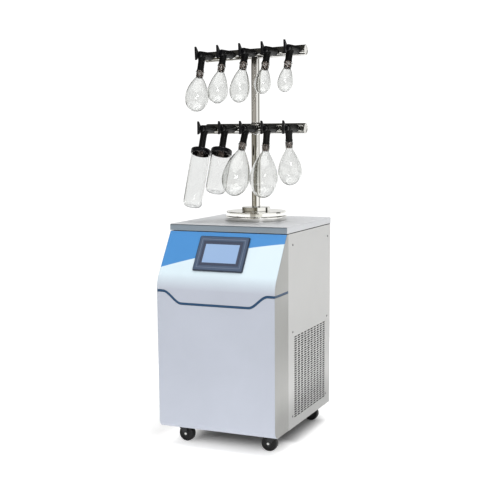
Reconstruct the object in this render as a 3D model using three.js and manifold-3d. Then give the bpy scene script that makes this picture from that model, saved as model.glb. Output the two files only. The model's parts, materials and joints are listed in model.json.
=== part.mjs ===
// A floor-standing laboratory freeze dryer: a cabinet on four swivel casters, a cold trap let into its
// deck, and a T-shaped drying manifold whose two bars carry ten rubber valves with flasks and jars.
// Millimetres, +Z up, X to the right, -Y to the front. The origin is on the floor, under the middle
// of the overall box.
import * as THREE from "three";
import { mergeVertices } from "three/addons/utils/BufferGeometryUtils.js";
import Module from "manifold-3d";

const wasm = await Module();
wasm.setup();
const { Manifold, Mesh } = wasm;

// ---------------------------------------------------------------- driving dimensions
// Clearances
const seatGap = 0.3; // between pieces that rest against or inside each other
const runGap = 0.8; // round anything that turns

// Cabinet
const cabinetWidth = 480;
const cabinetDepth = 602; // front face to rear panel
const cabinetHeight = 771; // underside to deck top
const sheet = 2; // steel sheet of the deck and panels
const flangeWidth = 18; // turned-in edges of the panels
const deckThickness = 24.5;
const deckEdgeRadius = 5;
const coverReach = 133; // front face to the joint with the side panels
const deckOverhang = 13; // deck front edge ahead of that joint
const coverWall = 3;
const coverLip = 45; // underside of the front cover, back from its face
const slopeAngle = THREE.MathUtils.degToRad(33.5); // sloped face, measured from the vertical
const slopeBlend = 108; // radius from slope to vertical face
const coverFoot = 30; // radius at the foot of the front cover

// Accent line between the two covers
const accentFall = 240.5; // deck top to its outer ends
const accentDrop = 45; // how far the middle hangs lower
const accentEnd = 27; // length of each outer end, in from the side
const accentRun = 77; // width of each bend between an end and the low middle
const accentBand = 8;
const accentRecess = 0.5;

// Touch screen
const bezelWidth = 204;
const bezelHeight = 145;
const bezelProud = 7;
const bezelRim = 9; // how far the bezel laps over the cut-out
const bezelBevel = 4;
const bezelTub = 9; // depth of the screen's housing behind the sloped face
const screenRecess = 1.5;
const screenWidth = 160;
const screenHeight = 104;
const screenThickness = 3;
const screenDrop = 94; // deck edge to screen centre, down the slope

// Side grilles
const grilleRear = 63; // last slot to the rear face
const grilleHeight = 316;
const grilleFront = 61; // joint to the first slot
const grilleLow = 36; // underside to the lowest slot
const grilleColumns = 3;
const grilleRows = 6;
const slotHeight = 14;
const slotBridge = 14;

// Casters
const wheelDiameter = 63;
const wheelRoom = 3.9; // between the wheel and the fork above it
const wheelWidth = 25;
const wheelTrail = 22;
const axleDiameter = 8;
const casterInsetX = 44; // side of the cabinet to the swivel axis
const frontCasterY = 108; // front face to the swivel axis
const rearCasterY = 42; // rear face to the swivel axis
const kingpin = 12;
const kingpinHead = 18;
const pinHeadHeight = 2.5;
const forkPlate = 3;
const crownThickness = 9;
const crownDiameter = 48;
const treadShoulder = 3;

// Cold trap
const trapRear = 207; // trap axis to the rear face
const trapBore = 200;
const trapDepth = 330;
const trapWall = 2;
const trapRim = 22; // width of the flange around the bore
const trapFlange = 14;
const trapStep = 3; // narrower foot of the flange
const dishDepth = 20; // rise of the dished bottom
const dishFlat = 120; // diameter of its flat middle
const portPipe = 28;
const portBore = 22;
const portFlange = 40;
const portFlangeThickness = 4;
const portReach = 26; // vacuum port beyond the rear panel
const portDepth = 150; // port axis below the deck

// Manifold
const plateShort = 4; // how far the lid plate's edge lies in from the flange's
const plateThickness = 17;
const sealDiameter = 5;
const sealInset = 9; // bore to the middle of the seal
const collarDiameter = 112;
const collarHeight = 16;
const columnDiameter = 34;
const columnWall = 2;
const columnShort = 8; // column top below the upper bar's axis, inside the bar
const barDiameter = 40;
const barWall = 2;
const barLength = 420;
const barCap = 3;
const lowerBarHeight = 356; // deck top to bar axis
const upperBarHeight = 642;
const upperBarLean = THREE.MathUtils.degToRad(1.9); // the upper bar rises a little to the right
const lowerPortPitch = 88;
const upperPortPitch = 91;
const nippleDiameter = 19;
const nippleBore = 14;
const nippleLength = 26;

// Valves
const valveReach = 95; // bar axis to spout axis
const barrelDiameter = 30;
const barrelNose = 22; // barrel ahead of the spout axis
const barrelBore = 20.2;
const barrelBack = 4; // bare nipple between bar and barrel
const spoutDiameter = 26;
const spoutTipDiameter = 23;
const spoutBore = 14;
const spoutPlug = 24; // length that a flask or lid takes up
const plugLength = 28; // knob plug inside the barrel
const plugDiameter = 18;
const knobDiameter = 25;
const knobLength = 17;
const wingThickness = 8;
const wingUp = 29;
const wingDown = 21;
const wingDepth = 22;
const wingRoot = 3; // wing let into the boss, and its width at the tips

// Glass
const glassWall = 2;
const neckGap = 0.4; // between glass or lid and the rubber spout
const lipBead = 1.4;
const lidThickness = 18;
const lidTop = 4;
const lidWall = 4;
const jarNeckStep = 2;
const jarCorner = 16;

// What hangs on each port, left to right. tilt leans the spout to the front, in degrees; lip, neck,
// belly and base are distances down the spout axis from the barrel axis; radius is the belly's.
const upperVessels = [
  { kind: "flask", tilt: 21.5, lip: 68, neck: 93, belly: 172, base: 229, radius: 45.5 },
  { kind: "flask", tilt: 25, lip: 51, neck: 80, belly: 160, base: 205, radius: 39 },
  { kind: "flask", tilt: 25.5, lip: 48, neck: 76, belly: 157, base: 208, radius: 38 },
  { kind: "flask", tilt: 26, lip: 56, neck: 82, belly: 141, base: 178, radius: 31.5 },
  { kind: "flask", tilt: 26, lip: 58, neck: 84, belly: 141, base: 177, radius: 28.5 },
];
const lowerVessels = [
  { kind: "jar", tilt: 22, lip: 86, base: 316, radius: 36.5 },
  { kind: "jar", tilt: 22, lip: 86, base: 258, radius: 38.5 },
  { kind: "flask", tilt: 28, lip: 66, neck: 94, belly: 208, base: 279, radius: 52.5 },
  { kind: "flask", tilt: 11, lip: 63, neck: 91, belly: 192, base: 265, radius: 53.5 },
  { kind: "flask", tilt: -4.5, lip: 50, neck: 81, belly: 162, base: 215, radius: 45 },
];

// Sides of the polygons that stand for circles
const flaskSides = 14;
const jarSides = 16;
const boreSides = 12;
const smallSides = 8; // narrow bores
const pipeSides = 16;
const barSides = 20;
const fanSides = 32;
const wheelSides = 24;
const towerSides = 28;
const trapSides = 32;

// Refrigeration unit inside
const compressorDiameter = 150;
const compressorHeight = 205;
const compressorSide = 120; // left side of the cabinet to its axis
const compressorY = 330; // front face to its axis
const potFoot = [8, 20]; // the pot's lower edge: in from its side, and up
const potShoulder = [12, 18, 45]; // its upper edge: in from its side, and down from its top twice
const coilThickness = 44;
const coilShort = 45; // how much narrower the coil is than the grille
const coilHeight = 290;
const coilInset = 40; // side of the cabinet to the coil's middle
const fanDiameter = 230;
const fanHub = 60;
const fanDepth = 26;
const fanBlades = 5;
const fanBladeThickness = 3;
const fanShaft = 10;
const fanPitch = THREE.MathUtils.degToRad(25);
const bladeChord = 52;
const fanTipGap = 4;
const shroudDepth = 58;
const motorLength = 24;
const compressorFoot = 10;

// Rear fittings
const inletSide = 90; // right side of the cabinet to the housing's middle
const inletLift = 120; // underside to the middle of the housing
const inletWidth = 32;
const inletHeight = 76;
const inletDepth = 26;
const inletRim = 3;
const socketWidth = 24;
const socketHeight = 18;
const socketDepth = 16;
const socketZ = -20; // socket middle from the housing's middle
const inletPinPitch = 7;
const inletPin = [2, 4]; // width and height of each contact pin
const inletPinShort = 4; // pin ends below the socket's mouth
const rockerWidth = 16;
const rockerHeight = 24;
const rockerWell = 14;
const rockerRoom = 2.5;
const rockerPivot = 3;
const rockerPivotDepth = 5;
const rockerDish = 1; // how far the middle of its face lies below its ends
const rockerZ = 18;
const rockerSwing = THREE.MathUtils.degToRad(16);

// ---------------------------------------------------------------- derived places
const halfWidth = cabinetWidth / 2;
const overallDepth = cabinetDepth + portReach;
const frontY = -overallDepth / 2;
const rearY = frontY + cabinetDepth;
const seamY = frontY + coverReach;
const deckFrontY = seamY - deckOverhang;
const baseZ = wheelDiameter + wheelRoom + runGap + crownThickness + seatGap;
const deckZ = baseZ + cabinetHeight;
const deckLowZ = deckZ - deckThickness;
const trapAxisY = rearY - trapRear;
const trapFlangeRadius = trapBore / 2 + trapRim;
const plateRadius = trapFlangeRadius - plateShort;
const sealRadius = trapBore / 2 + sealInset;
const sideTopZ = deckLowZ - seatGap;
const grilleWidth = cabinetDepth - coverReach - grilleFront - grilleRear;
const inletX = halfWidth - inletSide;
const flangeTop = trapStep + trapFlange; // above the deck
// Swivel axes of the casters. At rest each wheel trails towards the middle of the cabinet.
const casterSpots = [
  ["front_left", -1, frontY + frontCasterY],
  ["front_right", 1, frontY + frontCasterY],
  ["rear_left", -1, rearY - rearCasterY],
  ["rear_right", 1, rearY - rearCasterY],
].map(([spot, side, y]) => ({
  spot,
  x: side * (halfWidth - casterInsetX),
  y,
  turn: side > 0 ? Math.PI : 0,
}));

// ---------------------------------------------------------------- materials
const finish = (color, roughness, metalness) =>
  new THREE.MeshStandardMaterial({ color, roughness, metalness });
const brushedSteel = finish(0xb4b6b8, 0.4, 0.9);
const polishedSteel = finish(0xd0d0cc, 0.08, 1);
const panelPaint = finish(0xc8c8c6, 0.5, 0.1);
const facePaint = finish(0xc8cfda, 0.35, 0.05);
const slopePaint = finish(0xe4f6ff, 0.35, 0.05);
const accentPaint = finish(0x1c3e62, 0.4, 0.1);
const darkPlastic = finish(0x3c465a, 0.4, 0.05);
const screenGlass = finish(0xa0bee8, 0.1, 0);
const blackRubber = finish(0x141414, 0.7, 0);
const blackPlastic = finish(0x1a1a1a, 0.45, 0);
const clearGlass = finish(0xe6ecea, 0.05, 0);
const blackSteel = finish(0x202224, 0.5, 0.5);
const aluminium = finish(0xa8acb0, 0.45, 0.9);

// ---------------------------------------------------------------- solid helpers
// A closed geometry as a solid, with its shared vertices merged.
function solid(geometry) {
  const bare = new THREE.BufferGeometry();
  const flat = geometry.index ? geometry.toNonIndexed() : geometry;
  bare.setAttribute("position", flat.getAttribute("position"));
  const merged = mergeVertices(bare, 1e-4);
  const corners = merged.index.array;
  const triVerts = [];
  for (let i = 0; i < corners.length; i += 3) {
    const [a, b, c] = corners.slice(i, i + 3);
    if (a !== b && b !== c && c !== a) triVerts.push(a, b, c);
  }
  return new Manifold(
    new Mesh({
      numProp: 3,
      vertProperties: merged.attributes.position.array,
      triVerts: new Uint32Array(triVerts),
    }),
  );
}

function geometryOf(body) {
  const mesh = body.getMesh();
  const geometry = new THREE.BufferGeometry();
  geometry.setAttribute("position", new THREE.BufferAttribute(mesh.vertProperties, 3));
  geometry.setIndex(new THREE.BufferAttribute(mesh.triVerts, 1));
  geometry.computeVertexNormals();
  return geometry;
}

function part(name, body, material) {
  const mesh = new THREE.Mesh(geometryOf(body), material);
  mesh.name = name;
  return mesh;
}

const joined = (first, ...others) => others.reduce((sum, next) => sum.add(next), first);
const cut = (body, ...tools) => tools.reduce((rest, tool) => rest.subtract(tool), body);

// A box from its low corner to its high corner.
function block(low, high) {
  const size = high.map((value, axis) => value - low[axis]);
  const geometry = new THREE.BoxGeometry(...size);
  geometry.translate(...low.map((value, axis) => value + size[axis] / 2));
  return solid(geometry);
}

// A cylinder whose axis runs along X, Y or Z from one station to another, through (u, v) of the others.
function rod(axis, radius, from, to, u = 0, v = 0, sides = 24) {
  const geometry = new THREE.CylinderGeometry(radius, radius, to - from, sides);
  geometry.rotateY(Math.PI / sides);
  const middle = (from + to) / 2;
  if (axis === "x") {
    geometry.rotateZ(-Math.PI / 2);
    geometry.translate(middle, u, v);
  } else if (axis === "y") {
    geometry.translate(u, middle, v);
  } else {
    geometry.rotateX(Math.PI / 2);
    geometry.translate(u, v, middle);
  }
  return solid(geometry);
}

// A closed outline of [radius, height] points turned about Z.
function turned(outline, sides) {
  const twiceArea = outline.reduce((sum, [r, z], i) => {
    const [nextR, nextZ] = outline[(i + 1) % outline.length];
    return sum + r * nextZ - nextR * z;
  }, 0);
  const ordered = twiceArea > 0 ? outline : [...outline].reverse();
  const points = [...ordered, ordered[0]].map(([r, z]) => new THREE.Vector2(r, z));
  const geometry = new THREE.LatheGeometry(points, sides);
  geometry.rotateX(Math.PI / 2);
  geometry.rotateZ(Math.PI / sides);
  return solid(geometry);
}

// An outline of [y, z] points carried along X.
function carriedX(outline, from, to) {
  const shape = new THREE.Shape(outline.map(([y, z]) => new THREE.Vector2(y, z)));
  const geometry = new THREE.ExtrudeGeometry(shape, { depth: to - from, bevelEnabled: false });
  geometry.applyMatrix4(new THREE.Matrix4().set(0, 0, 1, from, 1, 0, 0, 0, 0, 1, 0, 0, 0, 0, 0, 1));
  return solid(geometry);
}

// An outline of [x, z] points carried along Y.
function carriedY(outline, from, to) {
  const shape = new THREE.Shape(outline.map(([x, z]) => new THREE.Vector2(x, z)));
  const geometry = new THREE.ExtrudeGeometry(shape, { depth: to - from, bevelEnabled: false });
  geometry.applyMatrix4(new THREE.Matrix4().set(1, 0, 0, 0, 0, 0, -1, to, 0, 1, 0, 0, 0, 0, 0, 1));
  return solid(geometry);
}

// The same body moved by a group's own matrix.
function movedBy(body, group) {
  group.updateMatrix();
  return solid(geometryOf(body).applyMatrix4(group.matrix));
}

const arc = (cy, cz, radius, from, to, steps) =>
  Array.from({ length: steps + 1 }, (_, i) => {
    const angle = from + ((to - from) * i) / steps;
    return [cy + radius * Math.cos(angle), cz + radius * Math.sin(angle)];
  });

// ---------------------------------------------------------------- front covers
// Side outline of the front cover, set in from its outer surface and carried back as far as backY:
// top edge, slope, blend, vertical face, foot radius and underside.
function coverOutline(inset, backY) {
  const [sin, cos] = [Math.sin(slopeAngle), Math.cos(slopeAngle)];
  const topY = deckFrontY + inset * cos - (inset * (1 - sin) * sin) / cos;
  const along = (deckFrontY + slopeBlend * cos - frontY - slopeBlend) / sin;
  const blendZ = sideTopZ - slopeBlend * sin - along * cos;
  const blendY = frontY + slopeBlend;
  const [footY, footZ] = [frontY + coverFoot, baseZ + coverFoot];
  return [
    [topY, sideTopZ - inset],
    ...arc(blendY, blendZ, slopeBlend - inset, Math.PI - slopeAngle, Math.PI, 5),
    ...arc(footY, footZ, coverFoot - inset, Math.PI, 1.5 * Math.PI, 5),
    [backY, baseZ + inset],
    [backY, sideTopZ - inset],
  ];
}

const smooth = (t) => t * t * (3 - 2 * t);

// The accent line's edge, left to right, offset up or down at right angles to the line.
function accentEdge(offset) {
  const steps = 8;
  const low = deckZ - accentFall - accentDrop;
  const flat = halfWidth - accentEnd - accentRun; // half length of the low middle
  const bend = Array.from({ length: steps + 1 }, (_, i) => {
    const t = i / steps;
    const slope = (accentDrop * 6 * t * (1 - t)) / accentRun;
    return [flat + accentRun * t, low + accentDrop * smooth(t) + offset * Math.hypot(1, slope)];
  });
  const right = [...bend, [halfWidth + 1, low + accentDrop + offset]];
  return [...right.map(([x, z]) => [-x, z]).reverse(), ...right];
}

// The whole front cover as a shell that is open at the back and behind its lower lip.
function coverShell(inset) {
  const outer = carriedX(coverOutline(inset, seamY - seatGap), inset - halfWidth, halfWidth - inset);
  const inner = carriedX(
    coverOutline(coverWall, seamY + 1),
    coverWall - halfWidth,
    halfWidth - coverWall,
  );
  const underside = block(
    [coverWall - halfWidth, frontY + coverLip, baseZ - 1],
    [halfWidth - coverWall, seamY + 1, baseZ + coverWall + 1],
  );
  return cut(outer, inner, underside);
}

// A frame on the sloped face: local Z points out of the face and local Y runs up the slope.
function slopeFrame() {
  const frame = new THREE.Group();
  frame.position.set(
    0,
    deckFrontY - screenDrop * Math.sin(slopeAngle),
    sideTopZ - screenDrop * Math.cos(slopeAngle),
  );
  frame.rotation.x = Math.PI / 2 - slopeAngle;
  return frame;
}

function frontCovers() {
  const shell = coverShell(0);
  const half = accentBand / 2 + seatGap;
  const [frontCut, backCut] = [frontY - 1, seamY + 1];
  const ends = (z) => [
    [halfWidth + 1, z],
    [-halfWidth - 1, z],
  ];
  const above = carriedY([...accentEdge(half), ...ends(deckZ)], frontCut, backCut);
  const below = carriedY([...accentEdge(-half), ...ends(0)], frontCut, backCut);
  const between = carriedY(
    [...accentEdge(accentBand / 2), ...accentEdge(-accentBand / 2).reverse()],
    frontCut,
    backCut,
  );
  const lap = new THREE.Vector2(bezelWidth / 2 - bezelRim, bezelHeight / 2 - bezelRim);
  const window = block([-lap.x, -lap.y, -bezelTub], [lap.x, lap.y, coverWall]);
  return [
    part("upper_front_cover", cut(shell.intersect(above), movedBy(window, slopeFrame())), slopePaint),
    part("lower_front_cover", shell.intersect(below), facePaint),
    part("accent_strip", coverShell(accentRecess).intersect(between), accentPaint),
  ];
}

function touchScreen() {
  const [w, h] = [bezelWidth / 2, bezelHeight / 2];
  const face = joined(
    block([-w, -h, seatGap], [w, h, bezelProud - bezelBevel]),
    block(
      [bezelBevel - w, bezelBevel - h, seatGap],
      [w - bezelBevel, h - bezelBevel, bezelProud],
    ),
  );
  const lap = bezelRim + seatGap;
  const tub = block([lap - w, lap - h, -bezelTub], [w - lap, h - lap, 2 * seatGap]);
  const [sw, sh] = [screenWidth / 2, screenHeight / 2];
  const glassTop = bezelProud - screenRecess;
  const glassLow = glassTop - screenThickness;
  const pocket = block([-sw, -sh, glassLow - seatGap], [sw, sh, bezelProud + 1]);
  const pane = block([seatGap - sw, seatGap - sh, glassLow], [sw - seatGap, sh - seatGap, glassTop]);
  const frame = slopeFrame();
  frame.add(
    part("screen_bezel", cut(joined(face, tub), pocket), darkPlastic),
    part("screen_glass", pane, screenGlass),
  );
  return frame;
}

// ---------------------------------------------------------------- cabinet shell
function topDeck() {
  const edge = arc(
    deckFrontY + deckEdgeRadius,
    deckZ - deckEdgeRadius,
    deckEdgeRadius,
    Math.PI,
    Math.PI / 2,
    4,
  );
  const outline = [[deckFrontY, deckLowZ], ...edge, [rearY, deckZ], [rearY, deckLowZ]];
  const hollow = block(
    [sheet - halfWidth, deckFrontY + sheet, deckLowZ - 1],
    [halfWidth - sheet, rearY - sheet, deckZ - sheet],
  );
  const holeRadius = trapBore / 2 + trapWall + runGap;
  const hole = rod("z", holeRadius, deckLowZ, deckZ + 1, 0, trapAxisY, trapSides);
  return part("top_deck", cut(carriedX(outline, -halfWidth, halfWidth), hollow, hole), brushedSteel);
}

// One side panel: a sheet with its front and rear edges turned in, and a field of slots low down.
function sidePanel(name, side) {
  // A block from one depth inside the panel's face to another.
  const slab = (from, to, y0, y1, z0, z1) => {
    const [x0, x1] = [side * (halfWidth - from), side * (halfWidth - to)].sort((a, b) => a - b);
    return block([x0, y0, z0], [x1, y1, z1]);
  };
  const flangeLow = baseZ + sheet + seatGap;
  const rearFace = rearY - sheet - seatGap;
  const skin = slab(0, sheet, seamY, rearY, baseZ, sideTopZ);
  const frontTurn = slab(0, flangeWidth, seamY, seamY + sheet, flangeLow, sideTopZ);
  const rearTurn = slab(0, flangeWidth, rearFace - sheet, rearFace, flangeLow, sideTopZ);
  const slotLength = (grilleWidth - (grilleColumns - 1) * slotBridge) / grilleColumns;
  const rowPitch = (grilleHeight - slotHeight) / (grilleRows - 1);
  const slots = [];
  for (let row = 0; row < grilleRows; row++)
    for (let column = 0; column < grilleColumns; column++) {
      const y = seamY + grilleFront + column * (slotLength + slotBridge);
      const z = baseZ + grilleLow + row * rowPitch;
      slots.push(slab(-1, sheet + 1, y, y + slotLength, z, z + slotHeight));
    }
  return part(name, cut(joined(skin, frontTurn, rearTurn), joined(...slots)), panelPaint);
}

function rearPanel() {
  const edge = halfWidth - sheet - seatGap;
  const plate = block([-edge, rearY - sheet, baseZ + sheet + seatGap], [edge, rearY, sideTopZ]);
  const holeRadius = portFlange / 2 + seatGap;
  const portHole = rod("y", holeRadius, rearY - sheet - 1, rearY + 1, 0, deckZ - portDepth);
  const [w, h] = [inletWidth / 2 + seatGap, inletHeight / 2 + seatGap];
  const z = baseZ + inletLift;
  const inletHole = block(
    [inletX - w, rearY - sheet - 1, z - h],
    [inletX + w, rearY + 1, z + h],
  );
  return part("rear_panel", cut(plate, portHole, inletHole), panelPaint);
}

// The floor of the cabinet, with a headed kingpin for each caster.
function basePan() {
  const edge = halfWidth - coverWall - seatGap;
  const floor = block(
    [-edge, frontY + coverLip + seatGap, baseZ],
    [edge, rearY, baseZ + sheet],
  );
  const headLow = baseZ - crownThickness;
  const pins = casterSpots.flatMap(({ x, y }) => [
    rod("z", kingpin / 2, headLow, baseZ + sheet, x, y, boreSides),
    rod("z", kingpinHead / 2, headLow, headLow + pinHeadHeight, x, y, boreSides),
  ]);
  return part("base_pan", joined(floor, ...pins), blackSteel);
}

// ---------------------------------------------------------------- casters
// The fork in its own frame: the swivel axis is Z, the wheel trails to +X, and Z = 0 is the floor.
function casterFork() {
  const axleZ = wheelDiameter / 2;
  const crownTop = baseZ - seatGap;
  const crownLow = crownTop - crownThickness - runGap;
  const crown = rod("z", crownDiameter / 2, crownLow, crownTop, 0, 0, barSides);
  const cheekOuter = wheelWidth / 2 + runGap + forkPlate;
  const bossRadius = axleDiameter;
  const cheekOutline = [
    [-crownDiameter / 4, crownTop - 1],
    ...arc(wheelTrail, axleZ, bossRadius, Math.PI, 2 * Math.PI, 4),
    [wheelTrail, crownTop - 1],
  ];
  const cheeks = carriedY(cheekOutline, -cheekOuter, cheekOuter);
  const inside = block(
    [-crownDiameter, -cheekOuter + forkPlate, 0],
    [crownDiameter, cheekOuter - forkPlate, crownLow],
  );
  const axle = rod("y", axleDiameter / 2, -cheekOuter, cheekOuter, wheelTrail, axleZ, boreSides);
  const pinHole = rod("z", kingpin / 2 + runGap, crownLow - 1, crownTop + 1, 0, 0, pipeSides);
  const headRoom = rod(
    "z",
    kingpinHead / 2 + runGap,
    crownLow - 1,
    baseZ - crownThickness + pinHeadHeight + runGap,
    0,
    0,
    pipeSides,
  );
  return joined(cut(joined(crown, cheeks), inside, pinHole, headRoom), axle);
}

// The wheel in its own frame, turning about Y, with a flat of its tread to the floor.
function casterWheel() {
  const tread = wheelDiameter / 2 / Math.cos(Math.PI / wheelSides);
  const half = wheelWidth / 2;
  const bore = axleDiameter / 2 + runGap;
  const profile = [
    [bore, half],
    [tread - treadShoulder, half],
    [tread, half - treadShoulder],
  ];
  const mirrored = profile.map(([r, z]) => [r, -z]).reverse();
  const upright = new THREE.Group();
  upright.rotation.x = Math.PI / 2;
  return movedBy(turned([...profile, ...mirrored], wheelSides), upright);
}

function casters() {
  return casterSpots.map(({ spot, x, y, turn }) => {
    const caster = new THREE.Group();
    caster.position.set(x, y, 0);
    caster.rotation.z = turn;
    const wheel = part("caster_wheel_" + spot, casterWheel(), blackRubber);
    wheel.position.set(wheelTrail, 0, wheelDiameter / 2);
    caster.add(part("caster_fork_" + spot, casterFork(), blackSteel), wheel);
    return caster;
  });
}

// ---------------------------------------------------------------- cold trap
// The trap in its own frame: Z is its axis and Z = 0 is the deck.
function coldTrap() {
  const inner = trapBore / 2;
  const outer = inner + trapWall;
  const rim = trapFlangeRadius;
  const dish = dishFlat / 2;
  const grooveLow = flangeTop - sealDiameter + seatGap;
  const grooveHalf = sealDiameter / 2 + seatGap;
  const body = turned(
    [
      [inner, flangeTop],
      [sealRadius - grooveHalf, flangeTop],
      [sealRadius - grooveHalf, grooveLow],
      [sealRadius + grooveHalf, grooveLow],
      [sealRadius + grooveHalf, flangeTop],
      [rim, flangeTop],
      [rim, trapStep],
      [rim - trapStep, trapStep],
      [rim - trapStep, seatGap],
      [outer, seatGap],
      [outer, dishDepth - trapDepth],
      [dish, -trapDepth],
      [0, -trapDepth],
      [0, trapWall - trapDepth],
      [dish, trapWall - trapDepth],
      [inner, dishDepth + trapWall - trapDepth],
    ],
    trapSides,
  );
  const portEnd = rearY + portReach - trapAxisY;
  const pipe = rod("y", portPipe / 2, inner + trapWall / 4, portEnd, 0, -portDepth, pipeSides);
  const lip = rod("y", portFlange / 2, portEnd - portFlangeThickness, portEnd, 0, -portDepth, pipeSides);
  const bore = rod("y", portBore / 2, inner / 2, portEnd + 1, 0, -portDepth, pipeSides);
  return cut(joined(body, pipe, lip), bore);
}

function chamberSeal() {
  const radius = sealDiameter / 2;
  const middle = flangeTop + 2 * seatGap - radius;
  const section = arc(sealRadius, middle, radius, 0, (2 * Math.PI * 5) / 6, 5);
  return turned(section, trapSides);
}

// Lid plate, collar and column, welded into one hollow piece that the bars are set on.
function manifoldColumn() {
  const inner = columnDiameter / 2 - columnWall;
  const low = flangeTop + 3 * seatGap;
  const plateTop = low + plateThickness;
  const collarTop = plateTop + collarHeight;
  const top = upperBarHeight - columnShort;
  const body = turned(
    [
      [inner, low],
      [plateRadius, low],
      [plateRadius, plateTop],
      [collarDiameter / 2, plateTop],
      [collarDiameter / 2, collarTop],
      [columnDiameter / 2, collarTop],
      [columnDiameter / 2, top],
      [inner, top],
    ],
    towerSides,
  );
  const outside = columnDiameter / 2 + 1;
  const crossBore = rod("x", inner / 2, -outside, outside, 0, lowerBarHeight, boreSides);
  const portBoreHole = rod("y", nippleBore / 2, -outside, 0, 0, lowerBarHeight, boreSides);
  return cut(body, crossBore, portBoreHole);
}

// ---------------------------------------------------------------- bars, valves and vessels
// A capped hollow bar with five nipples to the front, about its own middle, set on the column.
function bar(pitch, frame, columnTop) {
  const outer = barDiameter / 2;
  const inside = barLength / 2 - barCap;
  const tube = rod("x", outer, -barLength / 2, barLength / 2, 0, 0, barSides);
  const hollow = rod("x", outer - barWall, -inside, inside, 0, 0, barSides);
  const nipples = portPlaces(pitch).map((x) =>
    rod("y", nippleDiameter / 2, -outer - nippleLength, -outer / 2, x, 0, boreSides),
  );
  const bores = portPlaces(pitch).map((x) =>
    rod("y", nippleBore / 2, -outer - nippleLength - 1, -outer / 2, x, 0, smallSides),
  );
  const body = cut(joined(tube, ...nipples), hollow, joined(...bores));
  const holeRadius = columnDiameter / 2 + seatGap;
  const columnHole = rod("z", holeRadius, frame.position.z - outer - 1, columnTop, 0, 0, towerSides);
  return cut(movedBy(body, frame), columnHole);
}

const portPlaces = (pitch) => [-2, -1, 0, 1, 2].map((step) => step * pitch);

// Radius of a valve's spout at a distance down its axis: straight to the lip of what it carries, then
// tapered along the part inside.
function spoutRadius(distance, lip) {
  const t = THREE.MathUtils.clamp((distance - lip) / spoutPlug, 0, 1);
  return (spoutDiameter - (spoutDiameter - spoutTipDiameter) * t) / 2;
}

// The valve body in its own frame: barrel along Y with the bar at +Y, spout from the origin down.
function valveBody({ tilt, lip }) {
  const back = valveReach - barDiameter / 2 - barrelBack;
  const barrel = rod("y", barrelDiameter / 2, -barrelNose, back, 0, 0, boreSides);
  const tip = lip + spoutPlug;
  const spout = turned(
    [
      [0, 0],
      [spoutRadius(0, lip), 0],
      [spoutRadius(lip, lip), -lip],
      [spoutRadius(tip, lip), -tip],
      [0, -tip],
    ],
    flaskSides,
  );
  const lean = leanFrame(tilt);
  const spoutHole = rod("z", spoutBore / 2, -tip - 1, 0, 0, 0, smallSides);
  const barrelHole = rod("y", barrelBore / 2, -barrelNose - 1, back + 1, 0, 0, boreSides);
  return cut(joined(barrel, movedBy(spout, lean)), movedBy(spoutHole, lean), barrelHole);
}

// The valve's knob: a plug inside the barrel, a round boss and a two-armed wing.
function valveKnob() {
  const bossBack = -barrelNose - seatGap;
  const bossFront = bossBack - knobLength;
  const plug = rod("y", plugDiameter / 2, bossBack - 1, bossBack + plugLength, 0, 0, boreSides);
  const boss = rod("y", knobDiameter / 2, bossFront, bossBack, 0, 0, boreSides);
  const wingBack = bossFront + wingRoot;
  const wingFront = wingBack - wingDepth;
  const wing = carriedX(
    [
      [wingFront, wingUp],
      [wingFront, -wingDown],
      [wingFront + wingRoot, -wingDown],
      [wingBack, -knobDiameter / 3],
      [wingBack, knobDiameter / 3],
      [wingFront + wingRoot, wingUp],
    ],
    -wingThickness / 2,
    wingThickness / 2,
  );
  return joined(plug, boss, wing);
}

// A frame whose -Z axis leans to the front by tilt degrees.
function leanFrame(tilt) {
  const frame = new THREE.Group();
  frame.rotation.x = -THREE.MathUtils.degToRad(tilt);
  return frame;
}

const shoulderSteps = [0.16, 0.4, 0.7];
const baseSteps = [Math.PI / 6, Math.PI / 3];

// A pear-shaped flask, hollow and open at its lip.
function flask({ lip, neck, belly, base, radius }) {
  const plugEnd = lip + spoutPlug;
  const bore = (distance) => spoutRadius(distance, lip) + neckGap;
  const wall = (inset) => {
    const neckRadius = bore(plugEnd) + glassWall - inset;
    const bellyRadius = radius - inset;
    const shoulder = shoulderSteps.map((t) => [
      neckRadius + (bellyRadius - neckRadius) * (1 - (1 - t) ** 1.8),
      -neck - (belly - neck) * t,
    ]);
    const bowl = baseSteps.map((angle) => [
      bellyRadius * Math.cos(angle),
      -belly - (base - inset - belly) * Math.sin(angle),
    ]);
    return [
      [neckRadius, -neck],
      ...shoulder,
      [bellyRadius, -belly],
      ...bowl,
      [0, inset - base],
    ];
  };
  const lipRadius = bore(lip) + glassWall + lipBead;
  return turned(
    [
      [bore(lip), -lip],
      [lipRadius, -lip],
      [lipRadius, -lip - 2 * lipBead],
      [bore(lip) + glassWall, -lip - 3 * lipBead],
      ...wall(0),
      ...wall(glassWall).reverse(),
      [bore(plugEnd), -plugEnd],
    ],
    flaskSides,
  );
}

// A straight-sided jar whose rim sits inside its lid.
function jar({ lip, base, radius }) {
  const rimTop = lip + lidTop + seatGap;
  const shoulderTop = lip + lidThickness + seatGap;
  const wall = (inset) => [
    [radius - inset, -base + jarCorner],
    [radius - inset - jarCorner * 0.3, -base + jarCorner * 0.3 + inset],
    [radius - jarCorner, -base + inset],
    [0, -base + inset],
  ];
  const rimRadius = radius - jarNeckStep;
  return turned(
    [
      [rimRadius - glassWall, -rimTop],
      [rimRadius, -rimTop],
      [rimRadius, -shoulderTop],
      [radius, -shoulderTop - jarNeckStep],
      ...wall(0),
      ...wall(glassWall).reverse(),
      [radius - glassWall, -shoulderTop - jarNeckStep],
      [rimRadius - glassWall, -shoulderTop],
    ],
    jarSides,
  );
}

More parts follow.
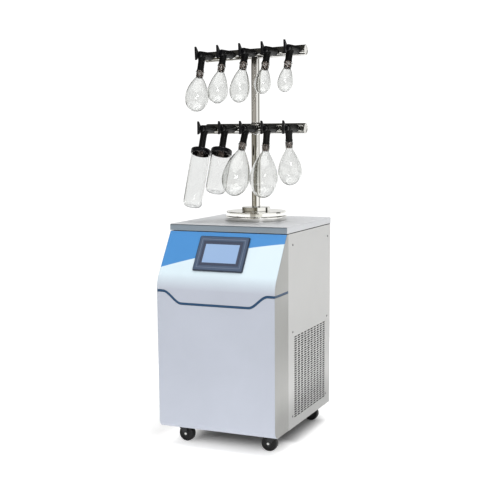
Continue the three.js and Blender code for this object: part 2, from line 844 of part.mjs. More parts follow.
// The jar's lid, with a hole that the spout passes through.
function jarLid({ lip, radius }) {
  const hole = spoutRadius(lip, lip) + neckGap;
  const outer = radius + lidWall - jarNeckStep + neckGap;
  const inner = outer - lidWall;
  return turned(
    [
      [hole, -lip],
      [outer, -lip],
      [outer, -lip - lidThickness],
      [inner, -lip - lidThickness],
      [inner, -lip - lidTop],
      [hole, -lip - lidTop],
    ],
    jarSides,
  );
}

function vessel(row, tag) {
  const frame = leanFrame(row.tilt);
  if (row.kind === "flask") frame.add(part("flask_" + tag, flask(row), clearGlass));
  else
    frame.add(
      part("jar_" + tag, jar(row), clearGlass),
      part("jar_lid_" + tag, jarLid(row), blackPlastic),
    );
  return frame;
}

// One bar with its valves and what hangs on them. Tags number the ports from the left.
function barSet(level, height, lean, pitch, columnTop, vessels) {
  const frame = new THREE.Group();
  frame.position.z = height;
  frame.rotation.y = -lean;
  const stations = portPlaces(pitch);
  vessels.forEach((row, i) => {
    const tag = level + "_" + (i + 1);
    const valve = new THREE.Group();
    valve.position.set(stations[i], -valveReach, 0);
    valve.add(
      part("valve_body_" + tag, valveBody(row), blackRubber),
      part("valve_knob_" + tag, valveKnob(), blackPlastic),
      vessel(row, tag),
    );
    frame.add(valve);
  });
  return [part(level + "_bar", bar(pitch, frame, columnTop), polishedSteel), frame];
}

// ---------------------------------------------------------------- refrigeration unit
function compressor() {
  const radius = compressorDiameter / 2;
  const footing = baseZ + sheet + seatGap;
  const plateZ = footing + compressorFoot;
  const top = plateZ + compressorHeight;
  const pot = turned(
    [
      [0, plateZ],
      [radius - potFoot[0], plateZ],
      [radius, plateZ + potFoot[1]],
      [radius, top - potShoulder[2]],
      [radius - potShoulder[0], top - potShoulder[1]],
      [radius / 2, top],
      [0, top],
    ],
    barSides,
  );
  const plate = block([-radius, -radius, plateZ], [radius, radius, plateZ + 2 * sheet]);
  const footAt = radius - compressorFoot;
  const feet = [-1, 1].flatMap((sx) =>
    [-1, 1].map((sy) =>
      rod("z", compressorFoot, footing, plateZ + sheet, sx * footAt, sy * footAt, boreSides),
    ),
  );
  const mesh = part("compressor", joined(pot, plate, ...feet), blackSteel);
  mesh.position.set(compressorSide - halfWidth, frontY + compressorY, 0);
  return mesh;
}

// Coil block with its fan shroud, motor and shaft, about the fan axis: X runs out through the coil.
function condenser() {
  const [w, h] = [(grilleWidth - coilShort) / 2, coilHeight / 2];
  const coil = block([-coilThickness / 2, -w, -h], [coilThickness / 2, w, h]);
  const coilFace = -coilThickness / 2;
  const shroud = cut(
    block([coilFace - shroudDepth, -w, -h], [coilFace, w, h]),
    rod("x", fanDiameter / 2 + fanTipGap, coilFace - shroudDepth - 1, coilFace, 0, 0, fanSides),
  );
  const motor = rod("x", fanHub / 2, coilFace - motorLength, coilFace + 1, 0, 0, barSides);
  const shaft = rod("x", fanShaft / 2, coilFace - shroudDepth, coilFace, 0, 0, boreSides);
  return joined(coil, shroud, motor, shaft);
}

function condenserFan() {
  const [low, high] = [-fanDepth / 2, fanDepth / 2];
  const hub = rod("x", fanHub / 2, low, high, 0, 0, barSides);
  const blades = Array.from({ length: fanBlades }, (_, i) => {
    const frame = new THREE.Group();
    frame.rotation.x = (2 * Math.PI * i) / fanBlades;
    const pitched = new THREE.Group();
    pitched.rotation.z = fanPitch;
    const blade = block(
      [-fanBladeThickness / 2, -bladeChord / 2, fanHub / 4],
      [fanBladeThickness / 2, bladeChord / 2, fanDiameter / 2],
    );
    return movedBy(movedBy(blade, pitched), frame);
  });
  const tips = rod("x", fanDiameter / 2, low, high, 0, 0, fanSides);
  const bore = rod("x", fanShaft / 2 + runGap, low - 1, high + 1, 0, 0, boreSides);
  return cut(joined(hub, joined(...blades).intersect(tips)), bore);
}

function coolingUnit() {
  const unit = new THREE.Group();
  unit.position.set(
    halfWidth - coilInset,
    seamY + grilleFront + grilleWidth / 2,
    baseZ + sheet + seatGap + coilHeight / 2,
  );
  const fan = part("condenser_fan", condenserFan(), blackPlastic);
  fan.position.x = -coilThickness / 2 - motorLength - runGap - fanDepth / 2;
  unit.add(part("condenser", condenser(), aluminium), fan);
  return unit;
}

// ---------------------------------------------------------------- mains inlet and switch
// The inlet housing in its own frame: the origin is in the rear face at its middle, +Y points out.
function powerInlet() {
  const [w, h] = [inletWidth / 2, inletHeight / 2];
  const body = block([-w, -inletDepth, -h], [w, seatGap + 1, h]);
  const rim = block([-w - inletRim, seatGap, -h - inletRim], [w + inletRim, inletRim, h + inletRim]);
  const [socketW, socketH] = [socketWidth / 2, socketHeight / 2];
  const socket = block(
    [-socketW, -socketDepth, socketZ - socketH],
    [socketW, inletRim + 1, socketZ + socketH],
  );
  const [pinW, pinH] = inletPin.map((size) => size / 2);
  const pins = [-1, 0, 1].map((side) =>
    block(
      [side * inletPinPitch - pinW, -socketDepth - 1, socketZ - pinH],
      [side * inletPinPitch + pinW, -inletPinShort, socketZ + pinH],
    ),
  );
  const well = block(
    [-rockerWidth / 2 - runGap, -rockerWell, rockerZ - rockerHeight / 2 - rockerRoom],
    [rockerWidth / 2 + runGap, inletRim + 1, rockerZ + rockerHeight / 2 + rockerRoom],
  );
  const pivotHole = rod(
    "x",
    rockerPivot / 2 + seatGap * 2,
    -rockerWidth / 2 - rockerPivot - 1,
    rockerWidth / 2 + rockerPivot + 1,
    -rockerPivotDepth,
    rockerZ,
    boreSides,
  );
  return joined(cut(joined(body, rim), socket, well, pivotHole), ...pins);
}

// The rocker about its pivot axis X: a slightly dished face outwards and a round root.
function rocker() {
  const [w, h] = [rockerWidth / 2, rockerHeight / 2];
  const proud = rockerPivotDepth + inletRim;
  const body = carriedX(
    [
      [-rockerPivot, -h / 2],
      [0, -h],
      [proud, -h],
      [proud - rockerDish, 0],
      [proud, h],
      [0, h],
      [-rockerPivot, h / 2],
    ],
    -w,
    w,
  );
  const pivot = rod("x", rockerPivot / 2, -w - rockerPivot, w + rockerPivot, 0, 0, boreSides);
  return joined(body, pivot);
}

function mainsInlet() {
  const frame = new THREE.Group();
  frame.position.set(inletX, rearY, baseZ + inletLift);
  const key = part("power_switch", rocker(), blackPlastic);
  key.position.set(0, -rockerPivotDepth, rockerZ);
  key.rotation.x = rockerSwing / 2;
  frame.add(part("power_inlet", powerInlet(), blackPlastic), key);
  return frame;
}

// ---------------------------------------------------------------- the whole dryer
function freezeDryer() {
  const dryer = new THREE.Group();
  dryer.add(
    basePan(),
    topDeck(),
    sidePanel("left_side_panel", -1),
    sidePanel("right_side_panel", 1),
    rearPanel(),
    ...frontCovers(),
    touchScreen(),
    ...casters(),
    compressor(),
    coolingUnit(),
    mainsInlet(),
  );
  const tower = new THREE.Group();
  tower.position.set(0, trapAxisY, deckZ);
  tower.add(
    part("cold_trap", coldTrap(), polishedSteel),
    part("chamber_seal", chamberSeal(), blackRubber),
    part("manifold_column", manifoldColumn(), polishedSteel),
    ...barSet("upper", upperBarHeight, upperBarLean, upperPortPitch, upperBarHeight, upperVessels),
    ...barSet(
      "lower",
      lowerBarHeight,
      0,
      lowerPortPitch,
      lowerBarHeight + barDiameter,
      lowerVessels,
    ),
  );
  dryer.add(tower);
  return dryer;
}

export default freezeDryer();
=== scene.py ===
# %% [markdown]
# # A floor-standing freeze dryer
# A steel cabinet on casters carries a cold trap in its deck. A T-shaped polished manifold stands on the trap's lid
# and holds ten rubber valves, each with a glass flask or jar. The measured CAD model comes first as a fixed frame;
# everything after this cell gives it the surfaces that the real machine shows.

# %% Load the frame
import json
from collections import namedtuple
from math import asin, atan2, cos, hypot, pi, radians, sin, tan

import bmesh
import bpy
from mathutils import Matrix, Vector


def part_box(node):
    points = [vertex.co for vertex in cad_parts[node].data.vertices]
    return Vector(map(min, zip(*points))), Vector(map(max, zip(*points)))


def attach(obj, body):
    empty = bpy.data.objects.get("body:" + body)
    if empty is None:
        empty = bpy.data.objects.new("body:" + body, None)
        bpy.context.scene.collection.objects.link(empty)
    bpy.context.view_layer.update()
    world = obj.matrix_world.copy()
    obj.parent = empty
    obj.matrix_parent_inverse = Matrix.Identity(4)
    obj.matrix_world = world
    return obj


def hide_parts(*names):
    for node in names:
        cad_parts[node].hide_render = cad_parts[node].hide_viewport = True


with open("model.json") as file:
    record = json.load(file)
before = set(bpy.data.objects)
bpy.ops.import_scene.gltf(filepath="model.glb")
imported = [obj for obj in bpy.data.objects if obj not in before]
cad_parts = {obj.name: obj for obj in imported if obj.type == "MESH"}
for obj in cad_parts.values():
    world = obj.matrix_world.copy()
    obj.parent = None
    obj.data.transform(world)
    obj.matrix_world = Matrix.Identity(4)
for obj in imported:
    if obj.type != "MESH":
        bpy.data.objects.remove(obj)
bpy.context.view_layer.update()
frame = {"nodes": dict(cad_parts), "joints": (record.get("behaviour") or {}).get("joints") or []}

scene = bpy.context.scene

# %% [markdown]
# ## The camera
# The camera stands to the right of the machine at the height of a person's chest and looks slightly down. A long
# lens keeps the verticals almost parallel, and the frame is shifted up a little, so that the upper flasks are in it
# without tilting the camera back. The shift stays the same in every other view.

# %% Place the camera
yaw, pitch, roll = radians(23.64), radians(9.43), radians(-0.38)
forward = Vector((-sin(yaw) * cos(pitch), cos(yaw) * cos(pitch), -sin(pitch)))
level = Vector((cos(yaw), sin(yaw), 0))
upright = level.cross(forward)
across = cos(roll) * level + sin(roll) * upright
upward = cos(roll) * upright - sin(roll) * level
camera = bpy.data.objects.new("camera", bpy.data.cameras.new("camera"))
scene.collection.objects.link(camera)
lens_at = (1.58486, -3.60676, 1.19019)
camera.matrix_world = Matrix.Translation(lens_at) @ Matrix((across, upward, -forward)).transposed().to_4x4()
camera.data.lens, camera.data.sensor_width, camera.data.shift_y = 72.72, 36, 0.101
scene.camera = camera
print("lens", camera.data.lens, "mm, shift", round(camera.data.shift_y, 3))

# %% [markdown]
# ## Nodes without clutter
# Every material, effect and light below is a small graph of nodes. Wiring them one call at a time would hide the
# idea, so one helper adds a node, sets its options and either links or fills each input.

# %% A helper that adds a node
def filled(tree, node, inputs):
    for key, value in inputs.items():
        if isinstance(value, bpy.types.NodeSocket):
            tree.links.new(value, node.inputs[key])
        else:
            node.inputs[key].default_value = value
    return node

def add(tree, kind, inputs=None, **options):
    made = tree.nodes.new("ShaderNode" + kind)
    for name, value in options.items():
        setattr(made, name, value)
    return filled(tree, made, inputs or {})

def calc(tree, operation, *values, clamp=False):
    return add(tree, "Math", dict(enumerate(values)), operation=operation, use_clamp=clamp).outputs[0]

def blended(tree, share, first, second):
    return add(tree, "Mix", {0: share, 6: first, 7: second}, data_type="RGBA").outputs[2]

def between(tree, value, start, stop, first=0.0, last=1.0, curve="LINEAR"):
    """first up to start, last from stop on, and a straight or soft way between them."""
    return add(
        tree, "MapRange", {0: value, 1: start, 2: stop, 3: first, 4: last}, interpolation_type=curve
    ).outputs[0]

def eased_between(tree, value, start, stop, first, last):
    return between(tree, value, start, stop, first, last, "SMOOTHSTEP")

def noise(tree, place, scale, detail, **more):
    return add(tree, "TexNoise", {"Vector": place, "Scale": scale, "Detail": detail, **more}).outputs[0]

def axes_of(tree, place):
    return add(tree, "SeparateXYZ", {0: place}).outputs

print("helpers: add, calc, blended, between, noise, axes_of")

# %% [markdown]
# ## The studio
# Laboratory machines are shown on a white sweep under large soft lamps. The world is white to the eye, through glass
# and to matt surfaces, and dark to polished ones, because chrome only reads as chrome, and black rubber as black,
# when there is something dark to mirror. The light path counts how often a ray was mirrored on its way, so glass in
# front of the white stays clear, while the same glass seen in the chrome is as dark as its surroundings.

# %% Build the white world
world = bpy.data.worlds.new("studio")
scene.world = world
world.use_nodes = True
sky = world.node_tree
sky.nodes.clear()
path = add(sky, "LightPath")
seen_white, matt_white, mirrored_dark = 1.1, 0.62, (0.035, 0.034, 0.030, 1)
dome = add(sky, "Background", {0: (1, 1, 1, 1), 1: seen_white})
ambient = add(sky, "Background", {0: (1, 1, 1, 1), 1: matt_white})
ceiling = add(sky, "Background", {0: mirrored_dark, 1: 1.0})
matt = add(sky, "MixShader", {0: path.outputs["Is Diffuse Ray"], 1: dome.outputs[0], 2: ambient.outputs[0]})
mirrored = calc(sky, "SUBTRACT", path.outputs["Glossy Depth"], path.outputs["Is Diffuse Ray"], clamp=True)
shine = add(sky, "MixShader", {0: mirrored, 1: matt.outputs[0], 2: ceiling.outputs[0]})
add(sky, "OutputWorld", {0: shine.outputs[0]})
scene.view_settings.view_transform = "Standard"
print("world has", len(sky.nodes), "nodes")

# %% [markdown]
# A floor that fades into the white world and belts of reflection cards complete the room. The floor carries painted
# light and painted shadow: its emission glows a little before and beside the machine and lifts the shadow there, and
# along the right wall its colour is darkened, so the shadow there stays dark. The cards stand where a photographer
# puts black flags and white boards around chrome: dark to the left of the lens, white to its right and straight behind
# the machine. A colour ramp over the angle round the room sets each belt, as runs of one colour from one share of the
# turn to another. They are seen only by polished surfaces, never by the camera, and they throw no shadow.

# %% Lay the floor and stand the cards
def plain_mesh(name, points, faces, *materials):
    mesh = bpy.data.meshes.new(name)
    mesh.from_pydata([tuple(p) for p in points], [], faces)
    for material in materials:
        mesh.materials.append(material)
    thing = bpy.data.objects.new(name, mesh)
    scene.collection.objects.link(thing)
    return thing

floor_look = bpy.data.materials.new("pale_floor")
floor_look.use_nodes = True
tree = floor_look.node_tree
ground = tree.nodes["Principled BSDF"]
ground.inputs["Roughness"].default_value = 0.9
ground.inputs["Specular IOR Level"].default_value = 0.1
place = add(tree, "TexCoord").outputs["Object"]
far = add(tree, "VectorMath", {0: place}, operation="LENGTH").outputs["Value"]
tree.links.new(eased_between(tree, far, 1.0, 2.4, 1.0, 0.0), ground.inputs["Alpha"])
axes = axes_of(tree, place)
# how far outside the machine's foot a spot lies, steeper to the sides than to the front
foot_x, steep_x, foot_y, steep_y = 0.14, 10.0, 0.064, 4.0
aside = calc(tree, "MULTIPLY_ADD", calc(tree, "ABSOLUTE", axes[0]), steep_x, -steep_x * foot_x)
ahead = calc(tree, "MULTIPLY_ADD", axes[1], -steep_y, -steep_y * foot_y)
aside, ahead = calc(tree, "MAXIMUM", aside, 0.0), calc(tree, "MAXIMUM", ahead, 0.0)
out = calc(tree, "SQRT", calc(tree, "MULTIPLY_ADD", aside, aside, calc(tree, "MULTIPLY", ahead, ahead)))
# painted light and painted shadow on the floor: how brightly it glows around the machine, and how dark its colour
# turns along the right wall
painted_floor_light, floor_tone, shaded_tone = 0.46, 0.93, 0.36
rise, fade = eased_between(tree, out, 0.10, 0.78, 0.0, painted_floor_light), eased_between(tree, out, 0.95, 2.1, 1.0, 0.0)
painted_glow_band = calc(tree, "MULTIPLY", rise, fade)
# metres away from the strip of floor that is seen under the right wall
strip_x, strip_half = 0.06, 0.04
off_strip = calc(tree, "SUBTRACT", calc(tree, "ABSOLUTE", calc(tree, "SUBTRACT", axes[0], strip_x)), strip_half)
for slant, start in ((-3.0, -0.06), (1.2, -0.28)):
    off_strip = calc(tree, "MAXIMUM", off_strip, calc(tree, "MULTIPLY_ADD", axes[1], slant, start))
# the floor's emission is painted light that lifts the shadow before and beside the machine
ground.inputs["Emission Color"].default_value = (1, 1, 1, 1)
painted_glow_kept = calc(tree, "MULTIPLY", painted_glow_band, eased_between(tree, off_strip, 0.05, 0.26, 0.1, 1.0))
tree.links.new(painted_glow_kept, ground.inputs["Emission Strength"])
# painted shadow: the floor's colour darkens along the right wall
tree.links.new(eased_between(tree, off_strip, -0.01, 0.12, shaded_tone, floor_tone), ground.inputs["Base Color"])
reach = 2.5
square = [(-reach, -reach, 0), (reach, -reach, 0), (reach, reach, 0), (-reach, reach, 0)]
floor = plain_mesh("floor", square, [[0, 1, 2, 3]], floor_look)

toward_lens = Vector((sin(yaw), -cos(yaw), 0))

def unseen(thing):
    """Only polished surfaces see it."""
    thing.visible_camera = thing.visible_diffuse = thing.visible_shadow = False

def glow_look(name, stops):
    made = bpy.data.materials.new(name)
    made.use_nodes = True
    tree = made.node_tree
    tree.nodes.clear()
    place = add(tree, "TexCoord").outputs["Object"]
    along = add(tree, "VectorMath", {0: place, 1: toward_lens}, operation="DOT_PRODUCT").outputs["Value"]
    beside = add(tree, "VectorMath", {0: place, 1: level}, operation="DOT_PRODUCT").outputs["Value"]
    share = calc(tree, "MULTIPLY_ADD", calc(tree, "ARCTAN2", beside, along), 1 / (2 * pi), 0.5)
    ramp = add(tree, "ValToRGB", {0: share})
    ramp.color_ramp.elements.remove(ramp.color_ramp.elements[1])
    for i, (at, color) in enumerate(stops):
        stop = ramp.color_ramp.elements[0] if i == 0 else ramp.color_ramp.elements.new(at)
        stop.position, stop.color = at, (*color, 1)
    glow = add(tree, "Emission", {0: ramp.outputs[0], 1: 1.0}).outputs[0]
    seen = calc(tree, "MINIMUM", add(tree, "LightPath").outputs["Glossy Depth"], 1.0)
    clear = add(tree, "BsdfTransparent").outputs[0]
    add(tree, "OutputMaterial", {0: add(tree, "MixShader", {0: seen, 1: clear, 2: glow}).outputs[0]})
    return made

def card_belt(name, low, high, runs, radius=2.6, sides=180):
    stops = [(at, color) for first, last, color in runs for at in dict.fromkeys((first, last))]
    ring, walls = [], []
    for i in range(sides):
        turn = 2 * pi * i / sides - pi
        way = cos(turn) * toward_lens + sin(turn) * level
        ring += [way * radius + Vector((0, 0, z)) for z in (low, high)]
        walls.append([2 * i, 2 * ((i + 1) % sides), 2 * ((i + 1) % sides) + 1, 2 * i + 1])
    unseen(plain_mesh(name, ring, walls, glow_look(name, stops)))
    print(name, "from", low, "to", high, "m")

bright, glaring, white = (1.35, 1.36, 1.36), (1.14, 1.14, 1.12), (1.0, 1.0, 0.98)
ivory, pale, bronze = (0.94, 0.94, 0.88), (0.80, 0.80, 0.78), (0.52, 0.50, 0.45)
grey, olive, flag = (0.44, 0.42, 0.39), (0.10, 0.09, 0.06), (0.030, 0.027, 0.020)
card_belt("low_cards", 0.02, 0.686, [
    (0.0, 0.430, bright), (0.440, 0.490, bronze), (0.500, 0.560, ivory), (0.570, 1.0, bright),
])
card_belt("middle_cards", 0.686, 1.2, [
    (0.0, 0.050, pale), (0.070, 0.070, flag), (0.20, 0.20, (0.20, 0.185, 0.15)), (0.30, 0.30, (0.44, 0.42, 0.36)),
    (0.42, 0.42, (0.32, 0.30, 0.25)), (0.48, 0.52, olive), (0.54, 0.725, glaring), (0.742, 0.785, flag),
    (0.80, 0.90, white), (1.0, 1.0, pale),
])
card_belt("high_cards", 1.2, 1.62, [
    (0.0, 0.10, white), (0.14, 0.19, flag), (0.24, 0.50, grey), (0.53, 0.53, flag), (0.56, 0.70, white),
    (0.725, 0.76, flag), (0.79, 0.79, pale), (1.0, 1.0, white),
])
card_belt("top_cards", 1.62, 2.0, [
    (0.0, 0.13, white), (0.16, 0.55, flag), (0.60, 0.72, pale), (0.75, 0.80, flag), (0.84, 1.0, white),
])
cloth = ((-0.25, -0.9), (1.5, -0.9), (1.5, -2.5), (-1.2, -2.5), (-1.2, -0.25), (-0.25, -0.25))
cloth_points = [toward_lens * ahead + level * aside + Vector((0, 0, 0.004)) for ahead, aside in cloth]
cloth_look = glow_look("dark_cloth", [(0.0, olive), (1.0, flag)])
unseen(plain_mesh("dark_floor_cloth", cloth_points, [[0, 1, 2, 3, 4, 5]], cloth_look))

# %% [markdown]
# Three soft lamps do the rest: a broad one overhead that also whitens the floor, a large one beyond the lens on the
# right that puts the small window of light in each flask, and a weak one from the left for the front.

# %% Hang the lamps
def soft_lamp(name, at, target, size, power, mirrored=False):
    lamp = bpy.data.objects.new(name, bpy.data.lights.new(name, "AREA"))
    lamp.data.shape, lamp.data.size, lamp.data.size_y, lamp.data.energy = "RECTANGLE", *size, power
    aim = (Vector(target) - Vector(at)).to_track_quat("-Z", "Y")
    lamp.matrix_world = Matrix.Translation(at) @ aim.to_matrix().to_4x4()
    lamp.visible_glossy = mirrored
    scene.collection.objects.link(lamp)
    print(name, power, "W")

soft_lamp("overhead", (0.3, -0.2, 4.6), (0, 0, 0), (4.6, 4.6), 230)
soft_lamp("window", (2.6, -3.4, 2.7), (0, 0, 1.0), (1.2, 1.6), 42, mirrored=True)
soft_lamp("fill", (-2.8, -3.6, 1.8), (0, 0, 0.6), (1.8, 1.8), 38)

# %% [markdown]
# ## Shapes from outlines
# Nearly every part of this machine is turned, folded or extruded, so its mesh can grow from an outline. Turning
# suits the glass, the chrome and the wheels. An outline's sharp corners are eased first, because a real edge always
# has a small radius that catches light.

# %% Ease an outline and turn it
def eased(outline, ease=0.0, steps=4, closed=True):
    """Round each corner of an outline of (u, v) or (u, v, own ease) points."""
    made = []
    for i, point in enumerate(outline):
        size = point[2] if len(point) > 2 else ease
        here = Vector(point[:2])
        if size <= 0 or abs(here.x) < 1e-7 or (not closed and i in (0, len(outline) - 1)):
            made.append(tuple(here))
            continue
        back = Vector(outline[i - 1][:2]) - here
        ahead = Vector(outline[(i + 1) % len(outline)][:2]) - here
        start = here + back.normalized() * min(size, 0.48 * back.length)
        end = here + ahead.normalized() * min(size, 0.48 * ahead.length)
        for k in range(steps + 1):
            t = k / steps
            made.append(tuple(start * (1 - t) ** 2 + here * 2 * t * (1 - t) + end * t * t))
    return made

shift = Matrix.Translation

def spin(angle, axis):
    return Matrix.Rotation(angle, 4, axis)

def raised_by(z, outline):
    return [(r, z + height, *ease) for r, height, *ease in outline]

def moved(shape, matrix):
    points, faces, mark = shape
    return [matrix @ Vector(p) for p in points], faces, mark

def turned(outline, sides=96, at=Matrix(), mark=0):
    """Spin a closed outline of (radius, height) points round Z, then carry it to its place."""
    points, rings, faces = [], [], []
    for r, z in outline:
        count = 1 if r < 1e-7 else sides
        rings.append([len(points) + i for i in range(count)])
        points += [Vector((r * cos(2 * pi * i / count), r * sin(2 * pi * i / count), z)) for i in range(count)]
    for low, high in zip(rings, rings[1:] + rings[:1]):
        if len(low) == len(high) == 1:
            continue
        for i in range(sides):
            j = (i + 1) % sides
            faces.append(
                ([low[i], low[j]] if len(low) > 1 else low) + ([high[j], high[i]] if len(high) > 1 else high)
            )
    return moved((points, faces, mark), at)

print("a turned ring of", len(turned([(1, 0), (2, 0), (2, 1), (1, 1)])[1]), "faces")

# %% [markdown]
# Flat plates and blocks come from loops of points that are bridged one to the next, like ribs under a skin. A
# rounded rectangle is the usual rib here; moving its copies inwards and upwards draws a bevel.

# %% Bridge loops of points
def bridged(loops, low_cap=True, high_cap=True, closed=True, mark=0):
    count = len(loops[0])
    points = [Vector(p) for loop in loops for p in loop]
    faces = []
    for level in range(len(loops) - 1):
        for i in range(count if closed else count - 1):
            j = (i + 1) % count
            faces.append([level * count + i, level * count + j, (level + 1) * count + j, (level + 1) * count + i])
    if low_cap:
        faces.append(list(range(count))[::-1])
    if high_cap:
        faces.append([(len(loops) - 1) * count + i for i in range(count)])
    return points, faces, mark

def quarter(u, v, radius, which, steps):
    angles = [(which + k / steps) * pi / 2 for k in range(steps + 1)]
    return [(u + radius * cos(a), v + radius * sin(a)) for a in angles]

def rounded_box(width, height, corner, steps=6):
    half_u, half_v = width / 2 - corner, height / 2 - corner
    corners = [(half_u, half_v), (-half_u, half_v), (-half_u, -half_v), (half_u, -half_v)]
    return [point for which, (u, v) in enumerate(corners) for point in quarter(u, v, corner, which, steps)]

def stepped(width, height, corner, levels, **caps):
    """A slab from (inset, height above the base) levels of a rounded rectangle."""
    loops = [
        (z, rounded_box(width - 2 * inset, height - 2 * inset, max(corner - inset, 0.0004)))
        for inset, z in levels
    ]
    return bridged([[(x, y, z) for x, y in loop] for z, loop in loops], **caps)

print("a bevelled slab of", len(stepped(1, 1, 0.1, [(0, 0), (0, 0.2), (0.02, 0.22)])[1]), "faces")

# %% [markdown]
# One function turns shapes into a named piece. It welds the points, points the faces outwards, smooths gentle edges
# and keeps hard ones, and then fastens the piece to the CAD body it moves with.

# %% Make a named piece
def ease_edges(thing, width, segments, least_degrees):
    edge = thing.modifiers.new("eased edges", "BEVEL")
    edge.width, edge.segments = width, segments
    edge.limit_method, edge.angle_limit = "ANGLE", radians(least_degrees)

def piece(name, shapes, body, looks, slot, stands_for=(), place=None, sharp=32, bevel=0.0, wall=0.0):
    points, faces, marks = [], [], []
    for shape_points, shape_faces, mark in shapes:
        base = len(points)
        points += shape_points
        faces += [[base + i for i in face] for face in shape_faces]
        marks += [mark] * len(shape_faces)
    made = plain_mesh(name, points, faces, *looks)
    made.data.polygons.foreach_set("material_index", marks)
    skin = bmesh.new()
    skin.from_mesh(made.data)
    bmesh.ops.remove_doubles(skin, verts=skin.verts, dist=2e-6)
    bmesh.ops.dissolve_degenerate(skin, edges=skin.edges, dist=2e-6)
    bmesh.ops.recalc_face_normals(skin, faces=skin.faces)
    if wall:
        middle = sum((face.calc_center_median() for face in skin.faces), Vector()) / len(skin.faces)
        if sum(face.normal.dot(face.calc_center_median() - middle) * face.calc_area() for face in skin.faces) < 0:
            bmesh.ops.reverse_faces(skin, faces=skin.faces)
    skin.to_mesh(made.data)
    skin.free()
    if place is not None:
        made.matrix_world = place
    if wall:
        thick = made.modifiers.new("sheet", "SOLIDIFY")
        thick.thickness, thick.offset = wall, -1
    if bevel:
        ease_edges(made, bevel, 3, 40)
    made.data.shade_smooth()
    made.data.set_sharp_from_angle(angle=radians(sharp))
    if slot != "clear_glass":
        made.modifiers.new("even shading", "WEIGHTED_NORMAL").keep_sharp = True
    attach(made, body)
    if stands_for:
        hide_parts(*stands_for)
    return made

print("helper: piece")

# %% [markdown]
# ## Effects that finishes share
# Steel, paint and rubber differ in colour, but they share how they age and how they were made: a brushed grain, a
# film of smudges, edges rubbed bare and paler, which also serves as a painted highlight along them, the skin of a
# mould. Each effect is a node group with its own inputs, so a finish only sets how strong it is.

# %% Brushed grain
def effect(name, inputs, outputs):
    group = bpy.data.node_groups.new(name, "ShaderNodeTree")
    for label, kind, value in inputs:
        socket = group.interface.new_socket(label, in_out="INPUT", socket_type="NodeSocket" + kind)
        if value is not None:
            socket.default_value = value
    for label, kind in outputs:
        group.interface.new_socket(label, in_out="OUTPUT", socket_type="NodeSocket" + kind)
    return group, group.nodes.new("NodeGroupInput").outputs, group.nodes.new("NodeGroupOutput").inputs

brushed_grain, given, gives = effect(
    "brushed_grain",
    [("Place", "Vector", None), ("Stretch", "Vector", (1, 1, 1)), ("Fineness", "Float", 900.0)],
    [("Streaks", "Float")]
)
stretched = add(
    brushed_grain, "VectorMath", {0: given["Place"], 1: given["Stretch"]}, operation="MULTIPLY"
).outputs[0]
fine = noise(brushed_grain, stretched, given["Fineness"], 3.0, Roughness=0.7)
broad = noise(brushed_grain, stretched, calc(brushed_grain, "MULTIPLY", given["Fineness"], 0.13), 2.0)
both = calc(brushed_grain, "MULTIPLY_ADD", broad, 0.45, calc(brushed_grain, "MULTIPLY", fine, 0.55))
brushed_grain.links.new(both, gives["Streaks"])
print("group", brushed_grain.name, len(brushed_grain.nodes), "nodes")

# %% [markdown]
# Handled surfaces never shine evenly: wiping cloths and fingers leave soft patches. A slow noise raised to a gentle
# contrast gives that film, and it drives roughness much more than colour.

# %% Smudges, worn edges with a painted highlight, and moulded skin
smudged, given, gives = effect(
    "smudges",
    [("Place", "Vector", None), ("Size", "Float", 6.0), ("Least", "Float", 0.3), ("Most", "Float", 0.45)],
    [("Film", "Float"), ("Tone", "Float")]
)
patch = noise(smudged, given["Place"], given["Size"], 5.0, Roughness=0.62, Distortion=0.4)
smudged.links.new(between(smudged, patch, 0.32, 0.70, given["Least"], given["Most"]), gives["Film"])
smudged.links.new(between(smudged, patch, 0.3, 0.7, 0.97, 1.03), gives["Tone"])

edge_wear_and_highlight, given, gives = effect(
    "edge_wear_and_highlight", [("Place", "Vector", None), ("Radius", "Float", 0.002), ("Amount", "Float", 0.6)],
    [("Bare", "Float")]
)
softened = add(edge_wear_and_highlight, "Bevel", {"Radius": given["Radius"]}, samples=4).outputs[0]
flatness = add(
    edge_wear_and_highlight, "VectorMath", {0: softened, 1: add(edge_wear_and_highlight, "NewGeometry").outputs["Normal"]},
    operation="DOT_PRODUCT"
).outputs["Value"]
ragged = noise(edge_wear_and_highlight, given["Place"], 70.0, 4.0)
edge = calc(edge_wear_and_highlight, "MULTIPLY", calc(edge_wear_and_highlight, "SUBTRACT", 1.0, flatness, clamp=True), 5.0)
# the edge mask serves both wear and a painted highlight along convex edges
bare = calc(edge_wear_and_highlight, "MULTIPLY", calc(edge_wear_and_highlight, "MULTIPLY", edge, ragged), given["Amount"], clamp=True)
edge_wear_and_highlight.links.new(bare, gives["Bare"])

moulded_skin, given, gives = effect(
    "moulded_skin", [("Place", "Vector", None), ("Grain", "Float", 1400.0)], [("Height", "Float")]
)
pits = add(moulded_skin, "TexVoronoi", {"Vector": given["Place"], "Scale": given["Grain"]})
waves = noise(moulded_skin, given["Place"], calc(moulded_skin, "MULTIPLY", given["Grain"], 0.05), 2.0)
moulded_skin.links.new(calc(moulded_skin, "MULTIPLY_ADD", waves, 0.6, pits.outputs[0]), gives["Height"])
print("groups", [group.name for group in bpy.data.node_groups])

# %% [markdown]
# The lowest hand's breadth of a floor-standing cabinet is drawn darker than the rest: painted shade, where less light
# from the floor reaches it. It fades out upwards, with an uneven edge.

# %% A painted shade at the foot
painted_foot_shade, given, gives = effect(
    "painted_foot_shade", [("Place", "Vector", None), ("Least", "Float", 0.62)], [("Tone", "Float")]
)
height = axes_of(painted_foot_shade, given["Place"])[2]
uneven = noise(painted_foot_shade, given["Place"], 9.0, 3.0)
reached = calc(painted_foot_shade, "MULTIPLY_ADD", uneven, 0.05, height)
painted_foot_shade.links.new(eased_between(painted_foot_shade, reached, 0.15, 0.27, given["Least"], 1.0), gives["Tone"])
print("group", painted_foot_shade.name)

# %% [markdown]
# ## Finishes
# A finish starts as one Principled shader. Its plain numbers stay on the shader; effect groups feed the sockets that
# vary over the surface. Three small helpers cover most finishes: open one, drop a group into it, and bump it.

